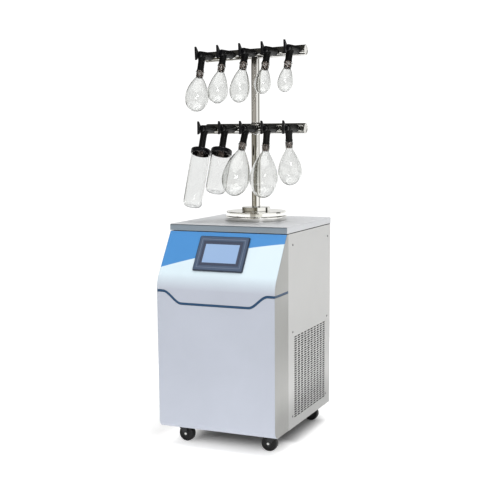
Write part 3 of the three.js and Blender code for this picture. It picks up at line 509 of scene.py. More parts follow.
# %% Helpers that open a finish
def finish(name, color, roughness, metallic=0.0, **plain):
    made = bpy.data.materials.new(name)
    made.use_nodes = True
    made.diffuse_color = (*color, 1)
    shader = made.node_tree.nodes["Principled BSDF"]
    shader.inputs["Base Color"].default_value = (*color, 1)
    shader.inputs["Roughness"].default_value = roughness
    shader.inputs["Metallic"].default_value = metallic
    for key, value in plain.items():
        shader.inputs[key.replace("_", " ")].default_value = value
    return made, made.node_tree, shader

def use(tree, group, **inputs):
    dropped = tree.nodes.new("ShaderNodeGroup")
    dropped.node_tree = group
    return filled(tree, dropped, inputs).outputs

def fed(tree, shader, **sockets):
    for key, value in sockets.items():
        tree.links.new(value, shader.inputs[key.replace("_", " ")])

def raised(tree, shader, height, strength, distance=0.0004):
    fed(
        tree, shader,
        Normal=add(tree, "Bump", {"Height": height, "Strength": strength, "Distance": distance}).outputs[0]
    )

def spot(tree):
    return add(tree, "TexCoord").outputs["Object"]

def foot_shaded(tree, at, tone, foot):
    """Darken a tone towards the foot as painted shade, down to that share of itself."""
    return calc(tree, "MULTIPLY", tone, use(tree, painted_foot_shade, Place=at, Least=foot)["Tone"]) if foot < 1 else tone

def toned(tree, color, tone):
    return add(
        tree, "VectorMath",
        {0: color if isinstance(color, bpy.types.NodeSocket) else tuple(color[:3]), "Scale": tone},
        operation="SCALE"
    ).outputs[0]

print("helpers: finish, use, fed, raised, spot, greyed, toned")

# %% [markdown]
# ### Steel
# The deck and the side walls of the front cover are stainless sheet, brushed in one direction before folding. The
# grain is drawn as long thin noise: stretched along the brushing, dense across it. It shifts the colour a little,
# the roughness more, and lifts a bump so fine that it only spreads the highlight. The manifold was then polished,
# so its grain nearly disappears.

# %% Brushed and polished steel
def brushed(name, color, roughness, stretch, metallic=0.9, depth=0.12, contrast=0.16, foot=1.0):
    made, tree, shader = finish(name, color, roughness, metallic)
    at = spot(tree)
    streaks = use(tree, brushed_grain, Place=at, Stretch=stretch)["Streaks"]
    film = use(tree, smudged, Place=at, Size=5.0, Least=roughness * 0.9, Most=roughness * 1.25)
    tone = calc(tree, "MULTIPLY", calc(tree, "MULTIPLY_ADD", streaks, contrast, 1 - contrast / 2), film["Tone"])
    fed(tree, shader, Base_Color=toned(tree, color, foot_shaded(tree, at, tone, foot)))
    fed(
        tree, shader,
        Roughness=calc(
            tree, "MULTIPLY_ADD", streaks, 0.3 * roughness,
            calc(tree, "SUBTRACT", film["Film"], 0.15 * roughness)
        )
    )
    raised(tree, shader, streaks, depth)
    return made

deck_steel = brushed("deck_steel", (0.63, 0.64, 0.66), 0.40, (0.02, 1.0, 1.0), metallic=0.4)
# a darker, bluer copy of the deck steel: painted shade and reflection on the faces turned to the front
deck_front_shade = brushed("deck_front_shade", (0.305, 0.362, 0.42), 0.30, (0.02, 1.0, 1.0), metallic=0.85)
# foot=0.75 paints shade on the lowest part of the side walls
wall_steel = brushed(
    "wall_steel", (0.430, 0.430, 0.415), 0.42, (1.0, 1.0, 0.015), metallic=0.7, contrast=0.22, foot=0.75
)
polished_steel = brushed(
    "polished_steel", (0.80, 0.79, 0.76), 0.045, (1.0, 1.0, 0.6), metallic=1.0, depth=0.003, contrast=0.03
)
bolt_steel = brushed("bolt_steel", (0.62, 0.62, 0.60), 0.30, (1.0, 1.0, 1.0), metallic=1.0, depth=0.03)
print("steel:", deck_steel.name, wall_steel.name, polished_steel.name, bolt_steel.name)

# %% [markdown]
# ### Paint
# The panels carry a satin coat with a faint orange-peel, the small waves that spray leaves as it dries. Where an
# edge is rubbed, the paint thins and the metal shows paler; the same paler edge is also a painted highlight. The front
# is sprayed the same way in a cool grey white.

# %% Satin paint
bare_metal_and_highlight = (0.80, 0.81, 0.82, 1)

def painted(name, color, roughness, wear=0.25, foot=1.0, pattern=None):
    made, tree, shader = finish(name, color, roughness)
    at = spot(tree)
    film = use(tree, smudged, Place=at, Size=4.0, Least=roughness - 0.02, Most=roughness + 0.05)
    bare = use(tree, edge_wear_and_highlight, Place=at, Amount=wear)["Bare"]
    coat = pattern(tree, (*color, 1)) if pattern else (*color, 1)
    tone = foot_shaded(tree, at, film["Tone"], foot)
    fed(tree, shader, Base_Color=toned(tree, blended(tree, bare, coat, bare_metal_and_highlight), tone))
    fed(tree, shader, Roughness=film["Film"])
    raised(tree, shader, use(tree, moulded_skin, Place=at, Grain=700.0)["Height"], 0.05)
    return made

cool_white = (0.430, 0.457, 0.523)
# foot=0.65 paints shade on the lowest part of the panels
panel_paint = painted("panel_paint", (0.540, 0.540, 0.530), 0.42, wear=0.1, foot=0.65)
face_paint = painted("face_paint", cool_white, 0.42)
accent_paint = painted("accent_paint", (0.012, 0.055, 0.125), 0.40, wear=0.1)
print("paint:", panel_paint.name, face_paint.name, accent_paint.name)

# %% [markdown]
# The sloped face is printed with a flat sky-blue field above a rising line. Below it the paint is lighter than the
# face: painted light where the slope faces up, which fades down the bend to the face's cool white as painted shade.
# The line is a gentle curve across the width, so it is written as one: height as a function of the distance from the
# middle. A mask made that way follows the object, not the view.

# %% Two-colour sloped face
sky_blue = (0.055, 0.215, 0.485, 1)

def two_tone(tree, lit_slope_color):
    axes = axes_of(tree, spot(tree))
    line_z, line_rise, line_bow, print_edge = 0.7514, 0.205, -0.2, 0.0006
    line = calc(tree, "MULTIPLY_ADD", calc(tree, "MULTIPLY_ADD", axes[0], line_bow, line_rise), axes[0], line_z)
    is_blue = between(tree, calc(tree, "SUBTRACT", axes[2], line), -print_edge, print_edge)
    # painted shade: the lighter slope colour fades to the face's cool white down the bend
    bend_painted_shade = between(tree, axes[2], 0.675, 0.615)
    return blended(tree, is_blue, blended(tree, bend_painted_shade, lit_slope_color, (*cool_white, 1)), sky_blue)

# the slope's colour is the face paint made lighter: painted light where the slope faces up
slope_paint = painted("slope_paint", (0.545, 0.640, 0.69), 0.40, pattern=two_tone)
print("slope paint nodes", len(slope_paint.node_tree.nodes))

# %% [markdown]
# ### Plastic and rubber
# The screen surround is moulded plastic with a fine matt grain; the knobs and jar lids are the same kind of plastic,
# polished in the mould. The valve bodies are black rubber: darker, duller, with a dusty bloom where it is handled.
# All of them are one recipe with different numbers.

# %% Moulded finishes
def moulded(name, color, roughness, grain=1400.0, relief=0.08, wear=0.2, **plain):
    made, tree, shader = finish(name, color, roughness, **plain)
    at = spot(tree)
    film = use(tree, smudged, Place=at, Size=14.0, Least=roughness - 0.05, Most=roughness + 0.10)
    bare = use(tree, edge_wear_and_highlight, Place=at, Radius=0.0015, Amount=wear)["Bare"]
    pale = tuple(1.6 * channel + 0.012 for channel in color) + (1,)
    fed(tree, shader, Base_Color=toned(tree, blended(tree, bare, (*color, 1), pale), film["Tone"]))
    fed(tree, shader, Roughness=film["Film"])
    raised(tree, shader, use(tree, moulded_skin, Place=at, Grain=grain)["Height"], relief)
    return made

bezel_plastic = moulded("bezel_plastic", (0.058, 0.084, 0.135), 0.42)
# a darker copy of the surround's plastic: painted shade on its outer bevel
bezel_painted_shade = moulded("bezel_painted_shade", (0.022, 0.032, 0.055), 0.40)
bezel_line = moulded("bezel_line", (0.150, 0.180, 0.245), 0.40)
black_plastic = moulded(
    "black_plastic", (0.004, 0.004, 0.005), 0.30, relief=0.03, wear=0.15, Specular_IOR_Level=0.3
)
lid_plastic = moulded("lid_plastic", (0.005, 0.005, 0.006), 0.14, relief=0.01, wear=0.1)
rubber = moulded("rubber", (0.004, 0.004, 0.004), 0.48, grain=900.0, relief=0.10, wear=0.3, Specular_IOR_Level=0.25)
stopper_rubber = moulded("stopper_rubber", (0.135, 0.105, 0.090), 0.55, grain=900.0, relief=0.10)
wheel_rubber = moulded(
    "wheel_rubber", (0.006, 0.006, 0.006), 0.50, grain=700.0, relief=0.12, wear=0.4, Specular_IOR_Level=0.3
)
black_steel = brushed("black_steel", (0.020, 0.021, 0.022), 0.42, (1, 1, 1), metallic=0.4, depth=0.04, contrast=0.3)
print("moulded finishes ready")

# %% [markdown]
# ### Glass and the lit screen
# Laboratory glass is clear; what the eye finds is its outline, where the wall is seen edge-on and its faint tint adds
# up. The shader bends light by itself, and a facing weight darkens its colour only at that edge: partly that tint,
# partly a painted reflection of the dark surroundings that a glass outline mirrors. The screen is a dark glossy pane
# whose middle glows a soft blue; its lit area is a mask over the pane's own coordinates.

# %% Glass and screen
def glass(name, body, rim):
    made, tree, shader = finish(name, body, 0.0, Transmission_Weight=1.0, IOR=1.47)
    # the dark edge colour is partly the wall's tint and partly a painted reflection of dark surroundings
    edge_tint_and_reflection = calc(tree, "POWER", add(tree, "LayerWeight", {"Blend": 0.5}).outputs["Facing"], 5.0)
    tint = blended(tree, calc(tree, "MULTIPLY", edge_tint_and_reflection, 0.8), (*body, 1), (*rim, 1))
    fed(tree, shader, Base_Color=toned(tree, tint, use(tree, smudged, Place=spot(tree), Size=30.0)["Tone"]))
    raised(tree, shader, noise(tree, spot(tree), 22.0, 1.0), 0.005, 0.001)
    return made

flask_glass = glass("flask_glass", (0.875, 0.880, 0.872), (0.16, 0.165, 0.16))
jar_glass = glass("jar_glass", (0.925, 0.930, 0.925), (0.20, 0.21, 0.205))

screen_look, tree, shader = finish("screen_pane", (0.05, 0.06, 0.09), 0.12, Coat_Weight=0.4)
axes = axes_of(tree, spot(tree))
lit_shift, lit_half_wide, lit_half_tall = 0.0012, 0.0690, 0.0385
wide = calc(tree, "LESS_THAN", calc(tree, "ABSOLUTE", calc(tree, "ADD", axes[0], lit_shift)), lit_half_wide)
tall = calc(tree, "LESS_THAN", calc(tree, "ABSOLUTE", axes[1]), lit_half_tall)
lit = calc(tree, "MULTIPLY", wide, tall)
glare = between(tree, calc(tree, "SUBTRACT", axes[0], axes[1]), -0.10, 0.10)
page = blended(tree, glare, (0.40, 0.60, 0.90, 1), (0.33, 0.50, 0.84, 1))
fed(tree, shader, Base_Color=blended(tree, lit, (0.055, 0.065, 0.095, 1), (0.21, 0.30, 0.45, 1)))
fed(tree, shader, Emission_Color=blended(tree, lit, (0, 0, 0, 1), page))
shader.inputs["Emission Strength"].default_value = 0.165
fed(tree, shader, Roughness=use(tree, smudged, Place=spot(tree), Size=20.0, Least=0.08, Most=0.2)["Film"])
print("glass and screen ready")

# %% [markdown]
# ## The cabinet's measures
# Everything that follows is laid out from the CAD model's boxes: where the deck starts, how wide the covers are,
# where the joint between covers and side panels runs. Only small details, such as folds and gaps, are plain numbers.

# %% Read the main measures
deck_near, deck_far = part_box("top_deck")
cover_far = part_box("upper_front_cover")[1]
half_width, rear_y, deck_z = deck_far.x, deck_far.y, deck_far.z
deck_low, deck_front = deck_near.z, deck_near.y
front_y, under_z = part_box("lower_front_cover")[0].y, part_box("lower_front_cover")[0].z
shadow_gap, sheet_steel = 0.0028, 0.0015
cover_top, cover_back = cover_far.z - shadow_gap, cover_far.y
seam_y = cover_back + 0.0011
trap_y = (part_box("chamber_seal")[0].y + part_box("chamber_seal")[1].y) / 2
print(
    "width", 2 * half_width, "deck at", round(deck_z, 4), "joint at", round(seam_y, 4), "trap axis at",
    round(trap_y, 4)
)

# %% [markdown]
# ### Deck
# The deck is a shallow pan of thin stainless sheet, folded down on all sides and rolled softly along the front. Its
# only opening is the round hole for the cold trap. A ring of points round the hole is joined to a ring of points
# that runs along the sheet's border, so the border can be rolled over without disturbing the flat top.

# %% Fold the deck pan
hole, front_roll, side_roll, fold_depth = 0.1028, 0.005, 0.0022, 0.012
corners = sorted(atan2(y - trap_y, x) % (2 * pi) for x in (-half_width, half_width) for y in (deck_front, rear_y))
angles = sorted([2 * pi * i / 160 for i in range(160)] + corners)

def border(inset_front, inset_side, z):
    loop = []
    for angle in angles:
        way = Vector((cos(angle), sin(angle)))
        reach_x = half_width / abs(way.x) if abs(way.x) > 1e-9 else 1e9
        reach_y = ((rear_y if way.y > 0 else deck_front) - trap_y) / way.y if abs(way.y) > 1e-9 else 1e9
        x, y = way * min(reach_x, reach_y)
        x = max(-half_width + inset_side, min(half_width - inset_side, x))
        y = max(deck_front + inset_front, min(rear_y - inset_side, y + trap_y))
        loop.append((x, y, z))
    return loop

loops = [border(fold_depth, fold_depth, deck_low + 0.0004), border(0, 0, deck_low)]
for k in range(7):
    t = k / 6 * pi / 2
    loops.append(border(front_roll * (1 - cos(t)), side_roll * (1 - cos(t)), deck_z - front_roll * (1 - sin(t))))
fold, flat = loops[:3], loops[2:]
for r, z in [(hole + 0.0016, 0), (hole + 0.0004, -0.0005), (hole, -0.0018), (hole, -0.012)]:
    flat.append([(r * cos(a), trap_y + r * sin(a), deck_z + z) for a in angles])
deck = piece(
    "deck_pan", [bridged(flat, False, False), bridged(fold, False, False, mark=1)], "cabinet",
    [deck_steel, deck_front_shade], "deck_steel", ["top_deck"], wall=sheet_steel
)
# faces turned to the front take the darker copy: painted shade on the deck's front fold
for face in deck.data.polygons:
    face.material_index = int(face.normal.y < -0.7)
print("deck pan", len(deck.data.polygons), "faces")

# %% [markdown]
# ### Front covers
# The front is one folded form in two covers: a slope, a wide bend, a straight face and a small radius at the foot.
# Across its width the face is flat and turns back in a 6 mm radius to plain side walls. Drawing it as columns of
# points solves both: each column follows the profile, set in a little further the nearer it is to the corner.

# %% Describe the cover's profile
slope, bend, foot, lip = radians(33.5), 0.108, 0.030, 0.045
round_edge, lip_edge = 0.006, 0.001
straight = (deck_front + bend * cos(slope) - front_y - bend) / sin(slope)
bend_y, bend_z = front_y + bend, cover_far.z - bend * sin(slope) - straight * cos(slope)
accent_low, accent_rise, accent_flat, accent_shoulder = under_z + 0.4855, 0.045, 0.136, 0.213

def accent(x, offset):
    t = min(1.0, max(0.0, (abs(x) - accent_flat) / (accent_shoulder - accent_flat)))
    lean = accent_rise * 6 * t * (1 - t) / (accent_shoulder - accent_flat)
    return accent_low + accent_rise * t * t * (3 - 2 * t) + offset * hypot(1, lean)

def back_at():
    return round_edge, lambda d, x: (cover_back, cover_top)

def top_at():
    return round_edge, lambda d, x: (deck_front - shadow_gap * tan(slope) + d / cos(slope), cover_top)

def bend_at(angle):
    return round_edge, lambda d, x: (bend_y + (bend - d) * cos(angle), bend_z + (bend - d) * sin(angle))

def face_at(height):
    return round_edge, lambda d, x: (front_y + d, height(x))

def foot_at(angle):
    share = (angle - pi) / (pi / 2)
    radius = round_edge * (1 - share) + lip_edge * share
    return radius, lambda d, x: (front_y + foot + (foot - d) * cos(angle), under_z + foot + (foot - d) * sin(angle))

def lip_at():
    return lip_edge, lambda d, x: (front_y + lip, under_z + d)

above_accent = 0.0068
bend_end = pi - asin((accent_low + accent_rise + above_accent - bend_z) / bend)
print("bend ends at", round(bend_z, 4), "accent from", round(accent_low, 4))

# %% [markdown]
# The two covers and the accent line between them share that profile and differ only in where they start and stop.
# Their meeting edges follow the line's gentle S at both sides. The front and the rounded edge are painted; the side
# walls are brushed steel.

# %% Fold the covers and the accent line
def cover(name, stations, paint, slot, node, sink=0.0):
    bends = [k / 5 * pi / 2 for k in range(6)]
    rise = [accent_flat + (accent_shoulder - accent_flat) * k / 14 for k in range(15)]
    half_front = [0.0, 0.06, 0.12, *rise, half_width - round_edge]
    across_front = sorted({round(side * x, 5) for side in (-1, 1) for x in half_front})
    def column(side, turn, x):
        line = []
        for r, at in stations:
            d = r * (1 - sin(turn)) if side else 0.0
            px = side * (half_width - sink - r + r * cos(turn)) if side else x
            y, z = at(d + sink, px)
            line.append((px, y, z))
        return line
    left, right = [[column(side, t, 0) for t in bends[2:-1]] for side in (-1, 1)]
    front = left + [column(0, 0, x) for x in across_front] + right[::-1]
    walls = [
        bridged([column(side, t, 0) for t in bends[:3]][::-side], False, False, closed=False, mark=1)
        for side in (-1, 1)
    ]
    for side in (-1, 1):
        near = column(side, 0.0, 0)
        walls.append(bridged([[(x, cover_back, z) for x, y, z in near], near], False, False, closed=False, mark=1))
    return piece(
        name, [bridged(front, False, False, closed=False)] + walls, "cabinet",
        [paint, wall_steel if paint is not accent_paint else accent_paint], slot, [node], wall=0.003 - sink
    )

band, hairline = 0.0046, 0.0003
above_band, below_band = face_at(lambda x: accent(x, band + hairline)), face_at(
    lambda x: accent(x, -band - hairline)
)
bend_down = [bend_at(pi - slope + (bend_end - pi + slope) * k / 12) for k in range(13)]
foot_under = [foot_at(pi + pi / 2 * k / 8) for k in range(1, 9)]
upper_stations = [back_at(), top_at(), *bend_down, above_band]
lower_stations = [below_band, face_at(lambda x: under_z + foot), *foot_under, lip_at()]
upper = cover("upper_cover", upper_stations, slope_paint, "slope_paint", "upper_front_cover")
lower = cover("lower_cover", lower_stations, face_paint, "face_paint", "lower_front_cover")
line_stations = [face_at(lambda x: accent(x, band)), face_at(lambda x: accent(x, -band))]
line = cover("accent_line", line_stations, accent_paint, "accent_paint", "accent_strip", sink=0.0005)
print("covers", len(upper.data.polygons), len(lower.data.polygons), "accent", len(line.data.polygons))

# %% [markdown]
# ### Touch screen
# A panel-mounted display has a moulded surround with bevelled edges, a shallow step that frames the glass, and a pane
# set just below it. Nested rounded rectangles at rising and falling heights make all of that in one mesh. It is built
# lying flat and then laid on the slope by a matrix, the way the part is fitted.

# %% Build the surround and the pane
down_slope = 0.094
screen_at = (0, deck_front - down_slope * sin(slope), cover_far.z - down_slope * cos(slope))
on_slope = shift(screen_at) @ spin(pi / 2 - slope, "X")
bezel_wide, bezel_tall, bezel_corner = 0.204, 0.145, 0.006

def ring_band(levels, mark=0):
    return stepped(bezel_wide, bezel_tall, bezel_corner, levels, low_cap=False, high_cap=False, mark=mark)

# the outer bevel takes the darker copy of the plastic: painted shade
rim = ring_band([(0.0, 0.0003), (0.0, 0.0034), (0.0006, 0.0044), (0.0040, 0.0068)], mark=2)
outer = ring_band([(0.0040, 0.0068), (0.0050, 0.0070), (0.0125, 0.0070), (0.0132, 0.0066)])
groove = ring_band([(0.0132, 0.0066), (0.0150, 0.0066)], mark=1)
inner = ring_band([(0.0150, 0.0066), (0.0156, 0.0070), (0.0205, 0.0070), (0.0219, 0.0063), (0.0220, 0.0030)])
surround = piece(
    "screen_surround", [rim, outer, groove, inner], "cabinet", [bezel_plastic, bezel_line, bezel_painted_shade],
    "bezel_plastic", ["screen_bezel"], place=on_slope
)
pane = piece(
    "screen_pane", [stepped(0.1594, 0.1034, 0.003, [(0, 0.0025), (0, 0.0051), (0.0004, 0.0055)])], "cabinet",
    [screen_look], "screen", ["screen_glass"], place=on_slope
)
print("surround", len(surround.data.polygons), "pane", len(pane.data.polygons))

# %% [markdown]
# ### Side panels
# Each side is one steel sheet, its front and rear edges folded in, with a field of short slots punched low down for
# the condenser's air: ten columns of thirty-six. The slots are real holes. The sheet is a grid whose lines pass
# between the slots, and each cell of the field opens into its own round-ended hole.

# %% Punch and fold a side panel
slot_columns, slot_rows, slot_long, slot_tall = 10, 36, 0.0275, 0.0055
field_y, field_z, field_wide, field_tall = seam_y + 0.061, under_z + 0.036, 0.345, 0.316
pitch_y, pitch_z = (field_wide - slot_long) / (slot_columns - 1), (field_tall - slot_tall) / (slot_rows - 1)

def slot_points(cy, cz, steps=3):
    r, flat = slot_tall / 2, slot_long / 2 - slot_tall / 2
    return [quarter(cy + end * flat, cz, r, which, steps) for which, end in enumerate((1, -1, -1, 1))]

def side_sheet(side):
    points, faces = [], []
    def corner(y, z, depth=0.0):
        points.append(Vector((side * (half_width - depth), y, z)))
        return len(points) - 1
    ys = [field_y + slot_long / 2 + (i - 0.5) * pitch_y for i in range(slot_columns + 1)]
    zs = [field_z + slot_tall / 2 + (i - 0.5) * pitch_z for i in range(slot_rows + 1)]
    fold, flange = 0.0018, 0.018
    behind_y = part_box("rear_panel")[0].y  # the rear panel closes over the folded edges
    edges_y = [seam_y + fold, *ys, behind_y - fold]
    edges_z = [under_z, *zs, cover_top]
    grid = {(i, j): corner(y, z) for i, y in enumerate(edges_y) for j, z in enumerate(edges_z)}
    for i in range(len(edges_y) - 1):
        for j in range(len(edges_z) - 1):
            ring = [grid[i + 1, j + 1], grid[i, j + 1], grid[i, j], grid[i + 1, j]]
            if not (1 <= i <= slot_columns and 1 <= j <= slot_rows):
                faces.append(ring)
                continue
            cy, cz = (edges_y[i] + edges_y[i + 1]) / 2, (edges_z[j] + edges_z[j + 1]) / 2
            arcs = [[corner(y, z) for y, z in arc] for arc in slot_points(cy, cz)]
            for q in range(4):
                faces += [[ring[q], arcs[q][k], arcs[q][k + 1]] for k in range(3)]
                faces.append([ring[q], arcs[q][-1], arcs[(q + 1) % 4][0], ring[(q + 1) % 4]])
    for end, way in ((0, -1), (len(edges_y) - 1, 1)):
        quarter_turn = [k / 4 * pi / 2 for k in range(1, 5)]
        turns = [(fold * sin(t), fold * (1 - cos(t))) for t in quarter_turn] + [(fold, flange)]
        last = [grid[end, j] for j in range(len(edges_z))]
        for out, depth in turns:
            line = [corner(edges_y[end] + way * out, z, depth) for z in edges_z]
            faces += [[last[j], last[j + 1], line[j + 1], line[j]] for j in range(len(edges_z) - 1)]
            last = line
    return points, faces, 0

both_sides = ((-1, "left"), (1, "right"))
# a near-black mat behind the slots stands in for the shade inside the cabinet: painted shade
slot_shade_foam = moulded("slot_shade_foam", (0.006, 0.006, 0.006), 0.9, grain=500.0, relief=1.0, wear=0.0)
for side, name in both_sides:
    mat_levels = [(0.001, 0.0), (0, 0.001), (0, 0.005), (0.001, 0.006)]
    mat = stepped(field_wide + 0.02, field_tall + 0.02, 0.004, mat_levels)
    field_middle = (side * (half_width - 0.0095), field_y + field_wide / 2, field_z + field_tall / 2)
    facing_out = spin(pi / 2, "Z") @ spin(side * pi / 2, "X")
    behind_slots = shift(field_middle) @ facing_out
    piece(name + "_slot_shade_mat", [mat], "cabinet", [slot_shade_foam], "rubber", place=behind_slots)
    panel = piece(
        name + "_panel", [side_sheet(side)], "cabinet", [panel_paint], "panel_paint", [name + "_side_panel"],
        wall=sheet_steel
    )
print(
    "panel", len(panel.data.polygons), "faces, slots", slot_columns * slot_rows, "at", round(pitch_y * 1000, 1),
    "by", round(pitch_z * 1000, 1), "mm"
)

# %% [markdown]
# ### Screws
# The panels are held by small button-head screws with a round socket, six to a side and six at the back. One
# turned head serves them all; it is copied to each place and all the copies on a panel form one piece.

# %% Turn and place the screws
head = eased([
    (0.0, 0.0010), (0.0016, 0.0010), (0.0019, 0.0020, 0.0002), (0.0030, 0.0018, 0.0006),
    (0.0042, 0.0006, 0.0006), (0.0042, 0.0), (0.0, 0.0)
], 0.0002, 2)
screw_places = [(0.044, 0.778), (0.431, 0.774), (0.044, 0.449), (0.427, 0.447), (0.042, 0.123), (0.416, 0.123)]
rear_screw_x = 0.222
screw_steel = brushed("screw_steel", (0.20, 0.20, 0.20), 0.38, (1, 1, 1), metallic=0.9, depth=0.03)
for side, name in both_sides:
    outwards = spin(side * pi / 2, "Y")
    holes = [shift((side * half_width, seam_y + y, z)) for y, z in screw_places]
    heads = [turned(head, 24, place @ outwards) for place in holes]
    piece(name + "_panel_screws", heads, "cabinet", [screw_steel], "black_steel", sharp=40)
heads = [
    turned(head, 24, shift((x, rear_y, z)) @ spin(-pi / 2, "X"))
    for x in (-rear_screw_x, rear_screw_x)
    for z in (under_z + 0.03, under_z + 0.37, cover_top - 0.03)
]
piece("rear_panel_screws", heads, "cabinet", [screw_steel], "black_steel", sharp=40)
print("screws", 3 * len(screw_places))

# %% [markdown]
# ## Casters
# Each caster is a pressed fork under a ball-race crown, with a rubber-tyred wheel on an axle bolt. The swivel and the
# axle are CAD joints, so the fork rides on one body and the wheel on another, and both turn in every pose. The
# crown and the wheel are turned; the fork's two cheeks are cut from an outline with rounded ends.

# %% Build the four casters
trail, wheel_r, eye_r, cheek_in, cheek_out = 0.022, 0.0315, 0.0085, 0.0134, 0.0163

def cheek(y0, y1):
    """A fork cheek in the caster's frame: narrow round the axle, wide under the crown."""
    eye = [
        (trail + eye_r * cos(a), wheel_r + eye_r * sin(a))
        for a in [pi * (1.02 + 0.9 * k / 12) for k in range(13)]
    ]
    side = [(-0.012, 0.066), (-0.0105, 0.060), *eye, (0.0245, 0.060), (0.0225, 0.066)]
    return bridged([[(x, y, z) for x, z in side] for y in (y0, y1)])

crown = eased([
    (0.006, 0.0765), (0.0238, 0.0765), (0.0238, 0.0745), (0.0215, 0.0728), (0.0215, 0.0712), (0.0235, 0.0700),
    (0.0225, 0.0670), (0.006, 0.0670)
], 0.0009, 3)
skirt = eased([(0.0100, 0.0672), (0.0225, 0.0672), (0.0190, 0.0655), (0.0100, 0.0655)], 0.0004, 2)
half_tyre = [
    (0.0048, 0.0085), (0.0085, 0.0125, 0.001), (0.0165, 0.0098, 0.002), (0.0215, 0.0098, 0.001),
    (0.0232, 0.0122, 0.001), (0.0285, 0.0125, 0.002), (0.0315, 0.0085, 0.004)
]
tyre = eased(half_tyre + [(r, -z, *ease) for r, z, *ease in half_tyre[::-1]], 0.0005, 5)
bolt = eased([
    (0.0, 0.0192), (0.0026, 0.0192, 0.0006), (0.0050, 0.0182, 0.001), (0.0050, 0.0164), (0.0, 0.0164)
], 0.0004, 3)
pin = [(0, -0.0165), (0.0038, -0.0165), (0.0038, 0.0165), (0, 0.0165)]
to_y = spin(-pi / 2, "X")
axle = shift((trail, 0, wheel_r)) @ to_y
for joint in frame["joints"]:
    if not joint["name"].startswith("swivel_"):
        continue
    where = joint["name"][7:]
    x, y, _ = joint["pos_m"]
    stand = shift((x, y, 0)) @ spin(pi if x > 0 else 0, "Z")
    fork_shapes = [turned(crown, 64), turned(skirt, 64), cheek(-cheek_out, -cheek_in), cheek(cheek_in, cheek_out)]
    piece(
        "fork_" + where, fork_shapes, "fork_" + where, [black_steel], "black_steel", ["caster_fork_" + where],
        place=stand, bevel=0.0008
    )
    nuts = [turned(bolt, 32, axle), turned(bolt, 32, axle @ spin(pi, "X")), turned(pin, 24, axle)]
    piece("axle_" + where, nuts, "fork_" + where, [bolt_steel], "aluminium", place=stand)
    piece(
        "wheel_" + where, [turned(tyre, 96, axle)], "wheel_" + where, [wheel_rubber], "wheel_rubber",
        ["caster_wheel_" + where], place=stand
    )
print("casters 4, tyre points", len(tyre))

# %% [markdown]
# ## Cold trap and lid
# The trap is a deep steel pot whose thick flange sits on the deck. A black rubber ring lies in the flange, and the
# manifold's polished lid rests on that ring, so the chamber seals under vacuum. All three are turned from outlines.
# The weld between collar and column is a small fillet, not a sharp line.

# %% Turn the trap, the seal and the column
pot_near, pot_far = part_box("cold_trap")
seal_near, seal_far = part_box("chamber_seal")
tower_near, tower_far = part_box("manifold_column")
on_axis = shift((0, trap_y, 0))
flange_top = tower_near.z - 0.0009
pot = eased([
    (0.100, flange_top), (0.1062, flange_top), (0.1062, flange_top - 0.0047), (0.1118, flange_top - 0.0047),
    (0.1118, flange_top), (0.122, flange_top, 0.0018), (0.122, deck_z + 0.003, 0.0015), (0.119, deck_z + 0.003),
    (0.119, deck_z + 0.0003), (0.102, deck_z + 0.0003), (0.102, pot_near.z + 0.020, 0.012),
    (0.060, pot_near.z, 0.02), (0.0, pot_near.z), (0.0, pot_near.z + 0.002), (0.060, pot_near.z + 0.002, 0.02),
    (0.100, pot_near.z + 0.022, 0.012)
], 0.0006, 4)
port_z, port_end = deck_z - 0.150, pot_far.y - trap_y
port_outline = eased([
    (0.011, 0.101), (0.014, 0.101), (0.014, port_end - 0.004, 0.001), (0.020, port_end - 0.003, 0.0006),
    (0.020, port_end), (0.0125, port_end), (0.0125, port_end - 0.002), (0.011, port_end - 0.002)
], 0.0005, 3)
port = turned(port_outline, 64, shift((0, trap_y, port_z)) @ to_y)
piece("trap_pot", [turned(pot, 160, on_axis), port], "cabinet", [polished_steel], "polished_steel", ["cold_trap"])
middle = (seal_near.z + seal_far.z) / 2
seal_r, cord_r = 0.109, 0.0026
cord_turns = [2 * pi * k / 16 for k in range(16)]
cord_ring = [(seal_r + cord_r * cos(turn), middle + cord_r * sin(turn)) for turn in cord_turns]
piece("lid_seal", [turned(cord_ring, 160, on_axis)], "cabinet", [rubber], "rubber", ["chamber_seal"])
lid_and_collar = raised_by(tower_near.z, [
    (0.015, 0), (0.118, 0, 0.0012), (0.118, 0.017, 0.0016), (0.056, 0.017, 0.0012), (0.056, 0.033, 0.0012),
    (0.017, 0.033, 0.0030)
])
tower = eased(lid_and_collar + [(0.017, tower_far.z), (0.015, tower_far.z)], 0.0005, 5)
piece(
    "lid_and_column", [turned(tower, 160, on_axis)], "manifold", [polished_steel], "polished_steel",
    ["manifold_column"]
)
print("flange top", round(flange_top, 4), "column top", round(tower_far.z, 4))

# %% [markdown]
# ## Bars
# Two capped tubes are welded across the column, the upper one a little out of level. Each carries five short
# nipples to the front for the valves. A shallow turned cap closes each end: a flat disc, set in a bright ring.

# %% Build the two bars
bar_r, bar_half, lean = 0.020, 0.210, radians(1.9)
